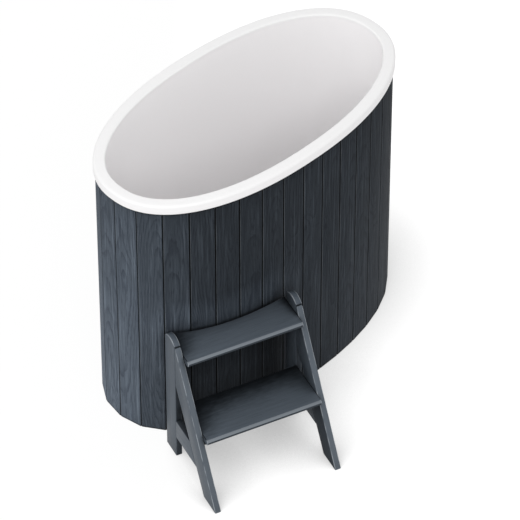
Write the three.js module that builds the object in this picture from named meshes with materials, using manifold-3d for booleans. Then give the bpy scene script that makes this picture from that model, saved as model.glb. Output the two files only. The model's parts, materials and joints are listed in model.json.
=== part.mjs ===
// Oval cold plunge tub: a moulded liner in a wall of painted staves, with a two-step stair.
// Millimetres, +Z up. The origin is on the floor under the middle of the tub, +X runs along
// the tub's length and the stair stands on the -Y side.

import * as THREE from 'three';
import { mergeVertices } from 'three/addons/utils/BufferGeometryUtils.js';
import Module from 'manifold-3d';

const wasm = await Module();
wasm.setup();

// Gap between pieces that seat on or slide into each other
const fitGap = 0.3;

// Facets round a turned piece, in each half turn of a drawn one, and round a small hole
const roundSegments = 20;
const halfRoundSegments = roundSegments / 2;
const smallRoundSegments = 12;

// How far a cutter runs past the faces that it cuts
const cutMargin = 1;

// Tub outline, measured over the corners of the staves
const tubLength = 1190;
const tubWidth = 627;
const tubHeight = 1035;
const ovalPower = 2.21;
const ovalDivisions = 4000;

// Staves
const staveCount = 34;
const staveThickness = 18;
const staveChamfer = 2.5;
const tongueLength = 7;
const tongueThickness = 6;
const staveFloorGap = 3;

// Liner
const shellThickness = 5;
const lipDrop = 35;
const lipClearance = 1;
const linerClearance = 7.5;
const linerTaper = 45;
const rimOuterRadius = 9;
const rimInnerRadius = 7;
const floorRadius = 70;
const linerSegments = 68;
const floorArcSteps = 5;
const rimArcSteps = 3;

// Base and middle ring
const bearerWidth = 45;
const bearerHeight = 60;
const bearerEndInset = 240;
const bearerEndClearance = 6;
const deckThickness = 18;
const ringHeight = 520;
const ringThickness = 18;

// Drain run
const pipeRadius = 16;
const pipeWall = 3;
const pipeHeight = 34;
const pipeHoleClearance = 0.5;
const socketWall = 3.7;
const socketDepth = 10;
const elbowBendRadius = 22;
const elbowSteps = 9;
const drainInset = 230;
const drainFlangeRadius = 42;
const drainFlangeThickness = 4;
const gasketThickness = 2;
const gasketInset = 3;
const strainerHoleRadius = 3;
const strainerHoleCount = 6;
const strainerCircleRadius = 8;
const locknutFlats = 52;
const locknutThickness = 9;
const locknutClearance = 4;

// Drain valve
const valveStandoff = 14;
const valveInletLength = 22;
const valveInletRadius = 22;
const valveOutletLength = 14;
const valveOutletRadius = 18;
const valveHousingWall = 6;
const valveHousingTurn = 40;
const valveArcSteps = 6;
const ballRadius = 16.7;
const ballGap = 0.6;
const ballBoreRadius = 11;
const stemRadius = 5;
const stemRise = 1;
const stemBossRadius = 10;
const stemBossRise = 9;
const hoseTailLength = 36;
const hoseTailRadius = 13;
const hoseBarbCount = 3;
const hoseBarbRise = 2;
const hoseBarbCrest = 0.25;
const hoseBoreRadius = 10;
const leverLength = 92;
const leverHubRadius = 12;
const leverTipRadius = 8;
const leverThickness = 4;

// Stair: the angle that it faces, from the -Y side towards the -X end
const stairFacing = THREE.MathUtils.degToRad(18.2);
const stairWidth = 466;
const frameThickness = 22;
const legWidth = 74;
const legCrown = 18;
const apexHeight = 337;
const stringerReach = 370;
const stringerFootLength = 87.5;
const railBottom = 91;
const railWidth = 76;
const riser = 238.5;
const seamRise = 30;
const treadWidth = 190;
const treadThickness = 22;
const treadNosing = 39;
const scribeGap = 13;
const cleatWidth = 21;
const cleatHeight = 26;
const cleatSetback = 8;

// Share of its radius by which a Bezier curve is pulled to make a quarter circle
const quarterPull = 0.5523;

// Distance below which two vertices are one
const weldDistance = 1e-3;

// Materials
const finishes = {
  gelcoat: { color: 0xf1f0ee, roughness: 0.28, metalness: 0 },
  wallPaint: { color: 0x363c45, roughness: 0.62, metalness: 0 },
  stairPaint: { color: 0x454b53, roughness: 0.55, metalness: 0 },
  timber: { color: 0xb08a5c, roughness: 0.75, metalness: 0 },
  plywood: { color: 0xc3a678, roughness: 0.75, metalness: 0 },
  plastic: { color: 0x43474b, roughness: 0.45, metalness: 0 },
  rubber: { color: 0x202224, roughness: 0.85, metalness: 0 },
  metal: { color: 0xb9b7b1, roughness: 0.32, metalness: 1 },
};

const part = new THREE.Group();

function addMesh(parent, name, geometry, finish) {
  const mesh = new THREE.Mesh(geometry, new THREE.MeshStandardMaterial(finishes[finish]));
  mesh.name = name;
  parent.add(mesh);
  return mesh;
}

// Booleans on closed geometries

function toSolid(geometry) {
  const bare = geometry.index ? geometry.toNonIndexed() : geometry.clone();
  bare.deleteAttribute('normal');
  bare.deleteAttribute('uv');
  const merged = mergeVertices(bare, weldDistance);
  const vertProperties = new Float32Array(merged.attributes.position.array);
  const triVerts = new Uint32Array(merged.index.array);
  return new wasm.Manifold(new wasm.Mesh({ numProp: 3, vertProperties, triVerts }));
}

function toGeometry(solid) {
  const mesh = solid.getMesh();
  const geometry = new THREE.BufferGeometry();
  geometry.setAttribute('position', new THREE.BufferAttribute(mesh.vertProperties, 3));
  geometry.setIndex(new THREE.BufferAttribute(mesh.triVerts, 1));
  geometry.computeVertexNormals();
  return geometry;
}

function cut(geometry, ...cutters) {
  const solid = cutters.reduce((rest, cutter) => rest.subtract(toSolid(cutter)), toSolid(geometry));
  return toGeometry(solid);
}

function join(geometry, ...others) {
  const solid = others.reduce((sum, other) => sum.add(toSolid(other)), toSolid(geometry));
  return toGeometry(solid);
}

// Basic forms

function extrude(shape, depth, curveSegments = halfRoundSegments) {
  return new THREE.ExtrudeGeometry(shape, { depth, curveSegments, bevelEnabled: false });
}

// A closed profile of (radius, height) points, going up on the outside, turned about the Z axis
function turned(points, segments = roundSegments) {
  const profile = points.map(([radius, height]) => new THREE.Vector2(radius, height));
  return new THREE.LatheGeometry(profile, segments).rotateX(Math.PI / 2);
}

function cylinder(radius, bottom, top, segments = roundSegments) {
  return new THREE.CylinderGeometry(radius, radius, top - bottom, segments)
    .rotateX(Math.PI / 2)
    .translate(0, 0, (bottom + top) / 2);
}

function ringShape(outerRadius, innerRadius) {
  const shape = new THREE.Shape().absarc(0, 0, outerRadius, 0, 2 * Math.PI);
  shape.holes.push(new THREE.Path().absarc(0, 0, innerRadius, 0, 2 * Math.PI));
  return shape;
}

function arcPoints(centreX, centreY, radius, startDegrees, endDegrees, steps) {
  return Array.from({ length: steps + 1 }, (_, step) => {
    const angle = THREE.MathUtils.degToRad(startDegrees + ((endDegrees - startDegrees) * step) / steps);
    return [centreX + radius * Math.cos(angle), centreY + radius * Math.sin(angle)];
  });
}

// The oval: a superellipse, drawn in by an inset

function ovalPoint(angle, inset) {
  const across = Math.abs(Math.cos(angle) / (tubLength / 2 - inset)) ** ovalPower;
  const along = Math.abs(Math.sin(angle) / (tubWidth / 2 - inset)) ** ovalPower;
  const radius = (across + along) ** (-1 / ovalPower);
  return new THREE.Vector2(radius * Math.cos(angle), radius * Math.sin(angle));
}

class OvalCurve extends THREE.Curve {
  constructor(inset) {
    super();
    this.inset = inset;
    this.arcLengthDivisions = ovalDivisions;
  }

  getPoint(t) {
    return ovalPoint(2 * Math.PI * t, this.inset);
  }
}

function ovalPoints(inset, count) {
  return new OvalCurve(inset).getSpacedPoints(count).slice(0, count);
}

// The inset of the oval that passes through a point inside the outline
function insetOf(point) {
  const angle = Math.atan2(point.y, point.x);
  let low = 0;
  let high = tubWidth / 2;
  while (high - low > weldDistance) {
    const middle = (low + high) / 2;
    if (ovalPoint(angle, middle).length() > point.length()) low = middle;
    else high = middle;
  }
  return high;
}

// The point of the oval whose outward normal is given
function ovalPointFacing(normal) {
  const power = 1 / (ovalPower - 1);
  const x = (tubLength / 2) * Math.abs(normal.x);
  const y = (tubWidth / 2) * Math.abs(normal.y);
  const sum = (x ** (ovalPower * power) + y ** (ovalPower * power)) ** (1 / ovalPower);
  return new THREE.Vector2(
    (Math.sign(normal.x) * (tubLength / 2) * x ** power) / sum,
    (Math.sign(normal.y) * (tubWidth / 2) * y ** power) / sum,
  );
}

// The wall as a polygon: one side for each stave, joints on the tub's long axis

const corners = ovalPoints(0, staveCount);

const sides = corners.map((start, index) => {
  const end = corners[(index + 1) % staveCount];
  const along = end.clone().sub(start).normalize();
  const outward = new THREE.Vector2(along.y, -along.x);
  return { start, end, along, outward, centre: start.clone().add(end).multiplyScalar(0.5) };
});

// The joint at a corner: the way in along the mitre, and the way across it to the next stave
const joints = corners.map((corner, index) => {
  const before = sides[(index + staveCount - 1) % staveCount];
  const inward = before.outward.clone().add(sides[index].outward).normalize().negate();
  const across = new THREE.Vector2(inward.y, -inward.x);
  return { corner, inward, across, stretch: 1 / -inward.dot(sides[index].outward) };
});

// The polygon drawn in by a true distance from its sides
function polygonInside(distance) {
  return joints.map((joint) => jointPoint(joint, distance, 0));
}

// A point at a joint: a depth below the wall's face and a shift across the joint
function jointPoint(joint, depth, shift) {
  return joint.corner
    .clone()
    .addScaledVector(joint.inward, depth * joint.stretch)
    .addScaledVector(joint.across, shift);
}

const faceCentres = sides.map((side) => side.centre.clone().addScaledVector(side.outward, -staveThickness));
const staveReach = Math.max(...faceCentres.map(insetOf), ...polygonInside(staveThickness).map(insetOf));

// Heights and insets that the pieces share

const deckBottom = bearerHeight + fitGap;
const deckTop = deckBottom + deckThickness;
const floorTop = deckTop + fitGap + shellThickness;
const rimUnderside = tubHeight - shellThickness;
const rimInset = -(lipClearance + shellThickness);
const wallInset = staveReach + linerClearance + shellThickness;
const insideStaves = staveThickness + fitGap;

// Inset of the liner's inner wall, which draws in towards the floor
function wallInsetAt(height) {
  return wallInset + (linerTaper * (rimUnderside - height)) / (rimUnderside - floorTop);
}

// The liner's plan at an inset, with its facets in line from the rim to the floor
const linerAngles = ovalPoints(rimInset, linerSegments).map((point) => Math.atan2(point.y, point.x));

function linerOval(inset) {
  return linerAngles.map((angle) => ovalPoint(angle, inset));
}

// Where the drain runs: square out through the stave beside the middle of the back

const drainStave = Math.floor(staveCount / 4) - 1;
const drainSide = sides[drainStave];
const drainCentre = drainSide.centre.clone().addScaledVector(drainSide.outward, -drainInset);
const drainAngle = Math.atan2(drainSide.outward.y, drainSide.outward.x);
const drainRun = new THREE.Group();
drainRun.position.set(drainCentre.x, drainCentre.y, 0);
drainRun.rotation.z = drainAngle;
part.add(drainRun);

function drainCutter(radius, bottom, top) {
  return cylinder(radius, bottom, top).translate(drainCentre.x, drainCentre.y, 0);
}

// Staves

function staveShape(index) {
  const side = sides[index];
  const first = joints[index];
  const last = joints[(index + 1) % staveCount];
  const half = fitGap / 2;
  const tongueTop = (staveThickness - tongueThickness) / 2;
  const tongueFoot = (staveThickness + tongueThickness) / 2;
  const shape = new THREE.Shape();
  shape.setFromPoints([
    side.start.clone().addScaledVector(side.along, staveChamfer + half),
    side.end.clone().addScaledVector(side.along, -staveChamfer - half),
    jointPoint(last, staveChamfer, -half),
    jointPoint(last, tongueTop, -half),
    jointPoint(last, tongueTop, tongueLength),
    jointPoint(last, tongueFoot, tongueLength),
    jointPoint(last, tongueFoot, -half),
    jointPoint(last, staveThickness, -half),
    jointPoint(first, staveThickness, half),
    jointPoint(first, tongueFoot + fitGap, half),
    jointPoint(first, tongueFoot + fitGap, tongueLength + fitGap),
    jointPoint(first, tongueTop - fitGap, tongueLength + fitGap),
    jointPoint(first, tongueTop - fitGap, half),
    jointPoint(first, staveChamfer, half),
  ]);
  return shape;
}

function pipeHole() {
  const start = drainInset - 2 * staveThickness;
  return cylinder(pipeRadius + pipeHoleClearance, start, drainInset + staveThickness)
    .rotateY(Math.PI / 2)
    .rotateZ(drainAngle)
    .translate(drainCentre.x, drainCentre.y, pipeHeight);
}

for (let index = 0; index < staveCount; index += 1) {
  const height = rimUnderside - fitGap - staveFloorGap;
  const board = extrude(staveShape(index), height).translate(0, 0, staveFloorGap);
  const geometry = index === drainStave ? cut(board, pipeHole()) : board;
  addMesh(part, `stave_${String(index + 1).padStart(2, '0')}`, geometry, 'wallPaint');
}

// Liner: ovals lofted along the shell's section, from the inside floor over the rim to the underside

const filletHeight = floorTop + floorRadius;

function linerSection() {
  const filletInset = wallInsetAt(filletHeight) + floorRadius;
  const lipRadius = shellThickness / 2;
  return [
    ...arcPoints(filletInset, filletHeight, floorRadius, 270, 180, floorArcSteps),
    ...arcPoints(wallInset - rimInnerRadius, tubHeight - rimInnerRadius, rimInnerRadius, 0, 90, rimArcSteps),
    ...arcPoints(rimInset + rimOuterRadius, tubHeight - rimOuterRadius, rimOuterRadius, 90, 180, rimArcSteps),
    ...arcPoints(rimInset + lipRadius, tubHeight - lipDrop + lipRadius, lipRadius, 180, 360, rimArcSteps),
    [rimInset + shellThickness, rimUnderside],
    [wallInset - shellThickness, rimUnderside],
    ...arcPoints(filletInset, filletHeight, floorRadius + shellThickness, 180, 270, floorArcSteps),
  ];
}

function loftOvals(section) {
  const segments = linerSegments;
  const positions = [];
  const triangles = [];
  for (const [inset, height] of section) {
    for (const point of linerOval(inset)) positions.push(point.x, point.y, height);
  }
  for (let ring = 0; ring < section.length - 1; ring += 1) {
    for (let step = 0; step < segments; step += 1) {
      const here = ring * segments + step;
      const next = ring * segments + ((step + 1) % segments);
      triangles.push(here, here + segments, next);
      triangles.push(here + segments, next + segments, next);
    }
  }
  const insideMiddle = positions.length / 3;
  const underMiddle = insideMiddle + 1;
  const lastRing = (section.length - 1) * segments;
  positions.push(0, 0, section[0][1], 0, 0, section[section.length - 1][1]);
  for (let step = 0; step < segments; step += 1) {
    const next = (step + 1) % segments;
    triangles.push(insideMiddle, step, next);
    triangles.push(underMiddle, lastRing + next, lastRing + step);
  }
  const geometry = new THREE.BufferGeometry();
  geometry.setAttribute('position', new THREE.Float32BufferAttribute(positions, 3));
  geometry.setIndex(triangles);
  return geometry;
}

const shell = loftOvals(linerSection());
const floorHole = drainCutter(pipeRadius + fitGap, floorTop - 2 * shellThickness, floorTop + shellThickness);
addMesh(part, 'liner', cut(shell, floorHole), 'gelcoat');

// Middle ring: outside it meets the staves, inside it is bevelled to the liner's wall

const outerWallInset = -shellThickness - fitGap;
const linerWall = loftOvals([
  [wallInset + outerWallInset, rimUnderside],
  [wallInsetAt(filletHeight) + outerWallInset, filletHeight],
]);
const ringBlank = extrude(new THREE.Shape(polygonInside(insideStaves)), ringThickness);
ringBlank.translate(0, 0, ringHeight - ringThickness / 2);
addMesh(part, 'middle_ring', cut(ringBlank, linerWall), 'plywood');

// Base deck, with a hole that clears the locknut

const locknutCorner = locknutFlats / Math.sqrt(3);
const deckShape = new THREE.Shape(polygonInside(insideStaves));
const deckHole = new THREE.Path();
deckHole.absarc(drainCentre.x, drainCentre.y, locknutCorner + locknutClearance, 0, 2 * Math.PI);
deckShape.holes.push(deckHole);
addMesh(part, 'base_deck', extrude(deckShape, deckThickness).translate(0, 0, deckBottom), 'plywood');

// Bearers across the tub: the middle one on the origin, the others near the ends

const endBearerX = tubLength / 2 - insideStaves - bearerEndInset;

function insideWidthAt(x) {
  const share = Math.abs(x) / (tubLength / 2 - staveReach);
  return (tubWidth / 2 - staveReach) * (1 - share ** ovalPower) ** (1 / ovalPower);
}

for (const [name, x] of [['left', -endBearerX], ['middle', 0], ['right', endBearerX]]) {
  const length = 2 * (insideWidthAt(Math.abs(x) + bearerWidth / 2) - bearerEndClearance);
  const bearer = new THREE.BoxGeometry(bearerWidth, length, bearerHeight);
  addMesh(part, `bearer_${name}`, bearer.translate(x, 0, bearerHeight / 2), 'timber');
}

// Floor drain. In the drain run's own frame the drain stands on Z and the pipe runs out along X.

const gasketBottom = floorTop + fitGap;
const flangeBottom = gasketBottom + gasketThickness + fitGap;
const flangeTop = flangeBottom + drainFlangeThickness;
const elbowTop = pipeHeight + elbowBendRadius + socketDepth;
const shankBottom = elbowTop - socketDepth + fitGap;
const pipeBore = pipeRadius - pipeWall;

function drainBody() {
  const body = turned([
    [0, flangeBottom],
    [pipeBore, flangeBottom],
    [pipeBore, shankBottom],
    [pipeRadius, shankBottom],
    [pipeRadius, flangeBottom],
    [drainFlangeRadius, flangeBottom],
    [drainFlangeRadius, flangeTop - drainFlangeThickness / 2],
    [drainFlangeRadius - drainFlangeThickness / 2, flangeTop],
    [0, flangeTop],
  ]);
  const bottom = flangeBottom - cutMargin;
  const hole = cylinder(strainerHoleRadius, bottom, flangeTop + cutMargin, smallRoundSegments);
  const holes = [hole];
  for (let step = 0; step < strainerHoleCount; step += 1) {
    const angle = (2 * Math.PI * step) / strainerHoleCount;
    holes.push(hole.clone().translate(strainerCircleRadius, 0, 0).rotateZ(angle));
  }
  return cut(body, ...holes);
}

function hexagon(flats) {
  const corner = flats / Math.sqrt(3);
  const points = Array.from({ length: 6 }, (_, step) => {
    const angle = (Math.PI * step) / 3;
    return new THREE.Vector2(corner * Math.cos(angle), corner * Math.sin(angle));
  });
  return new THREE.Shape(points);
}

function elbow() {
  const bend = elbowBendRadius;
  const pull = bend * quarterPull;
  const path = new THREE.CurvePath();
  const bendStart = new THREE.Vector3(0, 0, pipeHeight + bend);
  const bendEnd = new THREE.Vector3(bend, 0, pipeHeight);
  path.add(new THREE.LineCurve3(new THREE.Vector3(0, 0, elbowTop), bendStart));
  const bendPullStart = new THREE.Vector3(0, 0, pipeHeight + bend - pull);
  const bendPullEnd = new THREE.Vector3(bend - pull, 0, pipeHeight);
  path.add(new THREE.CubicBezierCurve3(bendStart, bendPullStart, bendPullEnd, bendEnd));
  path.add(new THREE.LineCurve3(bendEnd, new THREE.Vector3(bend + socketDepth, 0, pipeHeight)));
  const section = ringShape(pipeRadius + fitGap + socketWall, pipeRadius + fitGap);
  const options = { steps: elbowSteps, curveSegments: halfRoundSegments, extrudePath: path };
  return new THREE.ExtrudeGeometry(section, options);
}

const valveInletStart = drainInset + valveStandoff;
const pipeStart = elbowBendRadius + fitGap;
const pipeEnd = valveInletStart + socketDepth - fitGap;

// Turned about Z at first, then laid along the pipe
function alongPipe(geometry) {
  return geometry.rotateY(Math.PI / 2).translate(0, 0, pipeHeight);
}

const locknutShape = hexagon(locknutFlats);
locknutShape.holes.push(new THREE.Path().absarc(0, 0, pipeRadius + fitGap, 0, 2 * Math.PI));
const gasket = extrude(ringShape(drainFlangeRadius - gasketInset, pipeRadius + fitGap), gasketThickness);
const locknut = extrude(locknutShape, locknutThickness);
const pipe = extrude(ringShape(pipeRadius, pipeBore), pipeEnd - pipeStart).translate(0, 0, pipeStart);

addMesh(drainRun, 'drain_body', drainBody(), 'plastic');
addMesh(drainRun, 'drain_gasket', gasket.translate(0, 0, gasketBottom), 'rubber');
addMesh(drainRun, 'drain_locknut', locknut.translate(0, 0, deckTop - locknutThickness), 'plastic');
addMesh(drainRun, 'drain_elbow', elbow(), 'plastic');
addMesh(drainRun, 'drain_pipe', alongPipe(pipe), 'plastic');

// Drain valve: a body turned on the pipe's axis, a ball on an upright stem, and a lever

const cavityRadius = ballRadius + ballGap;
const housingRadius = cavityRadius + valveHousingWall;
const valveCentre = valveInletStart + valveInletLength + housingRadius;
const tailStart = valveCentre + housingRadius + valveOutletLength;
const tailEnd = tailStart + hoseTailLength;
const bossTop = housingRadius + stemBossRise;
const leverBottom = bossTop + fitGap;
const stemTop = leverBottom + leverThickness + stemRise;

function valveSection() {
  const pocketHalf = Math.sqrt(cavityRadius ** 2 - ballBoreRadius ** 2);
  const pocketDegrees = THREE.MathUtils.radToDeg(Math.acos(pocketHalf / cavityRadius));
  const pocketEnd = 180 - pocketDegrees;
  const pocket = arcPoints(valveCentre, 0, cavityRadius, pocketDegrees, pocketEnd, valveArcSteps);
  const housingStart = 180 - valveHousingTurn;
  const housing = arcPoints(valveCentre, 0, housingRadius, housingStart, valveHousingTurn, valveArcSteps);
  const barbPitch = hoseTailLength / hoseBarbCount;
  const barbs = Array.from({ length: hoseBarbCount }, (_, step) => {
    const start = tailStart + barbPitch * step;
    const crest = [hoseTailRadius + hoseBarbRise, start + barbPitch * hoseBarbCrest];
    return [crest, [hoseTailRadius, start + barbPitch]];
  });
  const outline = [
    [pipeRadius + fitGap, valveInletStart],
    [valveInletRadius, valveInletStart],
    [valveInletRadius, valveInletStart + valveInletLength],
    ...housing.map(([along, radius]) => [radius, along]),
    [valveOutletRadius, tailStart],
    [hoseTailRadius, tailStart],
    ...barbs.flat(),
    [hoseBoreRadius, tailEnd],
    [hoseBoreRadius, tailStart],
    [ballBoreRadius, tailStart],
    ...pocket.map(([along, radius]) => [radius, along]),
    [ballBoreRadius, valveInletStart + socketDepth],
    [pipeRadius + fitGap, valveInletStart + socketDepth],
  ];
  return [...outline, outline[0]];
}

function valveBody() {
  const body = alongPipe(turned(valveSection()));
  const boss = cylinder(stemBossRadius, (cavityRadius + housingRadius) / 2, bossTop);
  const stemHole = cylinder(stemRadius + fitGap, 0, bossTop + cutMargin);
  boss.translate(valveCentre, 0, pipeHeight);
  stemHole.translate(valveCentre, 0, pipeHeight);
  return cut(join(body, boss), stemHole);
}

function valveBall() {
  const ball = new THREE.SphereGeometry(ballRadius, roundSegments, halfRoundSegments).rotateX(Math.PI / 2);
  const stem = cylinder(stemRadius, (ballBoreRadius + ballRadius) / 2, stemTop);
  const bore = cylinder(ballBoreRadius, -2 * ballRadius, 2 * ballRadius).rotateX(Math.PI / 2);
  return cut(join(ball, stem), bore).translate(valveCentre, 0, pipeHeight);
}

// The lever lies along the wall when the valve is shut, and turns out along the pipe to open it
function valveLever() {
  const lean = Math.asin((leverHubRadius - leverTipRadius) / leverLength);
  const shape = new THREE.Shape();
  shape.absarc(0, 0, leverHubRadius, -lean, Math.PI + lean);
  shape.absarc(0, -leverLength, leverTipRadius, Math.PI + lean, 2 * Math.PI - lean);
  shape.closePath();
  shape.holes.push(new THREE.Path().absarc(0, 0, stemRadius + fitGap, 0, 2 * Math.PI));
  return extrude(shape, leverThickness).translate(valveCentre, 0, pipeHeight + leverBottom);
}

addMesh(drainRun, 'valve_body', valveBody(), 'metal');
addMesh(drainRun, 'valve_ball', valveBall(), 'metal');
addMesh(drainRun, 'valve_lever', valveLever(), 'plastic');

// Stair. In its own frame X runs across it, -Y is its front, and the backs of its rear legs
// stand in the plane that touches the wall.

const stairFront = new THREE.Vector2(-Math.sin(stairFacing), -Math.cos(stairFacing));
const stairFoot = ovalPointFacing(stairFront);
const stair = new THREE.Group();
stair.position.set(stairFoot.x, stairFoot.y, 0);
stair.rotation.z = -stairFacing;
part.add(stair);

const halfInside = stairWidth / 2 - frameThickness;
const seamHeight = 2 * riser + seamRise;
const stringerHeel = stringerReach - stringerFootLength;

// Front and back edges of the stringer, as distances in front of the legs' backs
function stringerFront(height) {
  return legWidth + ((seamHeight - height) * (stringerReach - legWidth)) / seamHeight;
}

function stringerBack(height) {
  return legWidth + ((apexHeight - height) * (stringerHeel - legWidth)) / apexHeight;
}

// Extrudes a side outline, drawn as (distance to the front, height), across the stair
function acrossStair(shape, width) {
  const front = new THREE.Vector3(0, -1, 0);
  const up = new THREE.Vector3(0, 0, 1);
  const basis = new THREE.Matrix4().makeBasis(front, up, front.clone().cross(up));
  return extrude(shape, width).translate(0, 0, -width / 2).applyMatrix4(basis);
}

function outline(...points) {
  return new THREE.Shape(points.map(([distance, height]) => new THREE.Vector2(distance, height)));
}

function legShape() {
  const halfLeg = legWidth / 2;
  const crownRadius = (halfLeg ** 2 + legCrown ** 2) / (2 * legCrown);
  const spread = Math.asin(halfLeg / crownRadius);
  const shape = outline([0, 0], [legWidth, 0], [legWidth, seamHeight]);
  const centreHeight = seamHeight + legCrown - crownRadius;
  shape.absarc(halfLeg, centreHeight, crownRadius, Math.PI / 2 - spread, Math.PI / 2 + spread);
  return shape;
}

const stringerShape = outline(
  [legWidth + fitGap, apexHeight],
  [stringerHeel + fitGap, 0],
  [stringerReach, 0],
  [legWidth + fitGap, seamHeight],
);

const railTop = railBottom + railWidth;
const railShape = outline(
  [legWidth + fitGap, railBottom],
  [stringerBack(railBottom) - fitGap, railBottom],
  [stringerBack(railTop) - fitGap, railTop],
  [legWidth + fitGap, railTop],
);

const treads = [
  { name: 'lower', top: riser, scribed: false },
  { name: 'upper', top: 2 * riser, scribed: true },
].map((tread) => {
  const front = stringerFront(tread.top) + treadNosing;
  const bottom = tread.top - treadThickness;
  return { ...tread, front, back: front - treadWidth, bottom, cleatTop: bottom - fitGap };
});

function treadShape(tread) {
  const nose = treadThickness / 2;
  const shape = outline([tread.back, tread.bottom], [tread.front - nose, tread.bottom]);
  shape.absarc(tread.front - nose, tread.bottom + nose, nose, -Math.PI / 2, Math.PI / 2);
  shape.lineTo(tread.back, tread.top);
  return shape;
}

// The wall with its clearance, seen from the stair, as deep as a tread
function scribeCutter(tread) {
  const wall = new THREE.Shape(ovalPoints(-scribeGap, 2 * linerSegments));
  return extrude(wall, 3 * treadThickness)
    .translate(-stairFoot.x, -stairFoot.y, tread.bottom - treadThickness)
    .rotateZ(stairFacing);
}

for (const tread of treads) {
  const blank = acrossStair(treadShape(tread), 2 * (halfInside - fitGap));
  const geometry = tread.scribed ? cut(blank, scribeCutter(tread)) : blank;
  addMesh(stair, `${tread.name}_tread`, geometry, 'stairPaint');
}

for (const [hand, sign] of [['left', -1], ['right', 1]]) {
  const frameX = sign * (stairWidth / 2 - frameThickness / 2);
  const frame = [['leg', legShape()], ['stringer', stringerShape], ['rail', railShape]];
  for (const [name, shape] of frame) {
    const mesh = addMesh(stair, `stair_${name}_${hand}`, acrossStair(shape, frameThickness), 'stairPaint');
    mesh.position.x = frameX;
  }
  for (const tread of treads) {
    const cleatFront = stringerFront(tread.cleatTop) - cleatSetback;
    const cleatBack = Math.max(tread.back, 0) + cleatSetback;
    const cleat = outline(
      [cleatBack, tread.cleatTop - cleatHeight],
      [cleatFront, tread.cleatTop - cleatHeight],
      [cleatFront, tread.cleatTop],
      [cleatBack, tread.cleatTop],
    );
    const mesh = addMesh(stair, `${tread.name}_cleat_${hand}`, acrossStair(cleat, cleatWidth), 'stairPaint');
    mesh.position.x = sign * (halfInside - fitGap - cleatWidth / 2);
  }
}

export default part;
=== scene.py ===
import json
import math

import bmesh
import bpy
from mathutils import Matrix, Vector
from mathutils.bvhtree import BVHTree


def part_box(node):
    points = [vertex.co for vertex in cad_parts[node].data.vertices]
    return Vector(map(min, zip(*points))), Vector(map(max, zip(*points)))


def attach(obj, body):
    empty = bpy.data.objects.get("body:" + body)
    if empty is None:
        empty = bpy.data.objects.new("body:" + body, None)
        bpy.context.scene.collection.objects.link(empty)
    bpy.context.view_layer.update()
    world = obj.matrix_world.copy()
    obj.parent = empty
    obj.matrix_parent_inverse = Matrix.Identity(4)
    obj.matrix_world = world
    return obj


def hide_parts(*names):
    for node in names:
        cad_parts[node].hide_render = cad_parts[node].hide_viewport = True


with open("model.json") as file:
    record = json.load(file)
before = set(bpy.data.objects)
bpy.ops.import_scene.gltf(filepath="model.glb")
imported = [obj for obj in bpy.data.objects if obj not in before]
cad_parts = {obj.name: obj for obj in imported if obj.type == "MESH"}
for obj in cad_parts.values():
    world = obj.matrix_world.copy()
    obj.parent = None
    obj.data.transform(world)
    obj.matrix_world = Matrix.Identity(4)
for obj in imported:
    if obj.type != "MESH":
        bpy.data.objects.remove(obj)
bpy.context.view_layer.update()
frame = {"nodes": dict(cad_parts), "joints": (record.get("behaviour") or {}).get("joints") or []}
nodes = frame["nodes"]
staveNodes = sorted(name for name in nodes if name.startswith("stave_"))
print("frame loaded:", len(nodes), "nodes,", len(staveNodes), "staves")


# Meshes and pieces

def newPiece(name, mesh, material, body, replaced):
    piece = bpy.data.objects.new(name, mesh)
    bpy.context.scene.collection.objects.link(piece)
    mesh.materials.clear()
    mesh.materials.append(material)
    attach(piece, body)
    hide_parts(*replaced)
    return piece


def meshFrom(shape, name):
    mesh = bpy.data.meshes.new(name)
    shape.to_mesh(mesh)
    shape.free()
    return mesh


def scratchObject(name, mesh):
    scratch = bpy.data.objects.new(name, mesh)
    bpy.context.scene.collection.objects.link(scratch)
    return scratch


def finishedMesh(scratch):  # the mesh with its modifiers applied; the scratch object goes
    graph = bpy.context.evaluated_depsgraph_get()
    mesh = bpy.data.meshes.new_from_object(
        scratch.evaluated_get(graph), preserve_all_data_layers=True, depsgraph=graph
    )
    mesh.name = scratch.name
    source = scratch.data
    bpy.data.objects.remove(scratch)
    bpy.data.meshes.remove(source)
    return mesh


def smoothByAngle(mesh, degrees):
    mesh.polygons.foreach_set("use_smooth", [True] * len(mesh.polygons))
    mesh.set_sharp_from_angle(angle=math.radians(degrees))


def storeValues(mesh, name, kind, domain, values):
    attribute = mesh.attributes.get(name) or mesh.attributes.new(name, kind, domain)
    key = "vector" if kind == "FLOAT_VECTOR" else "value"
    flat = [x for value in values for x in value] if key == "vector" else list(values)
    attribute.data.foreach_set(key, flat)


# Node helpers, for shaders and geometry alike

def addNode(tree, kind, inputs=None, **settings):
    node = tree.nodes.new(kind)
    for name, value in settings.items():
        setattr(node, name, value)
    for key, value in (inputs or {}).items():
        if isinstance(value, bpy.types.NodeSocket):
            tree.links.new(value, node.inputs[key])
        else:
            node.inputs[key].default_value = value
    return node


def maths(tree, operation, *values):
    return addNode(tree, "ShaderNodeMath", dict(enumerate(values)), operation=operation).outputs[0]


def vectors(tree, operation, *values):
    node = addNode(tree, "ShaderNodeVectorMath", dict(enumerate(values)), operation=operation)
    return node.outputs["Value" if operation in ("DOT_PRODUCT", "LENGTH") else "Vector"]


def ramp(tree, value, low, high, smooth=True):  # 0 below low, 1 above high
    node = addNode(tree, "ShaderNodeMapRange", {0: value, 1: low, 2: high})
    node.interpolation_type = "SMOOTHSTEP" if smooth else "LINEAR"
    return node.outputs[0]


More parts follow.
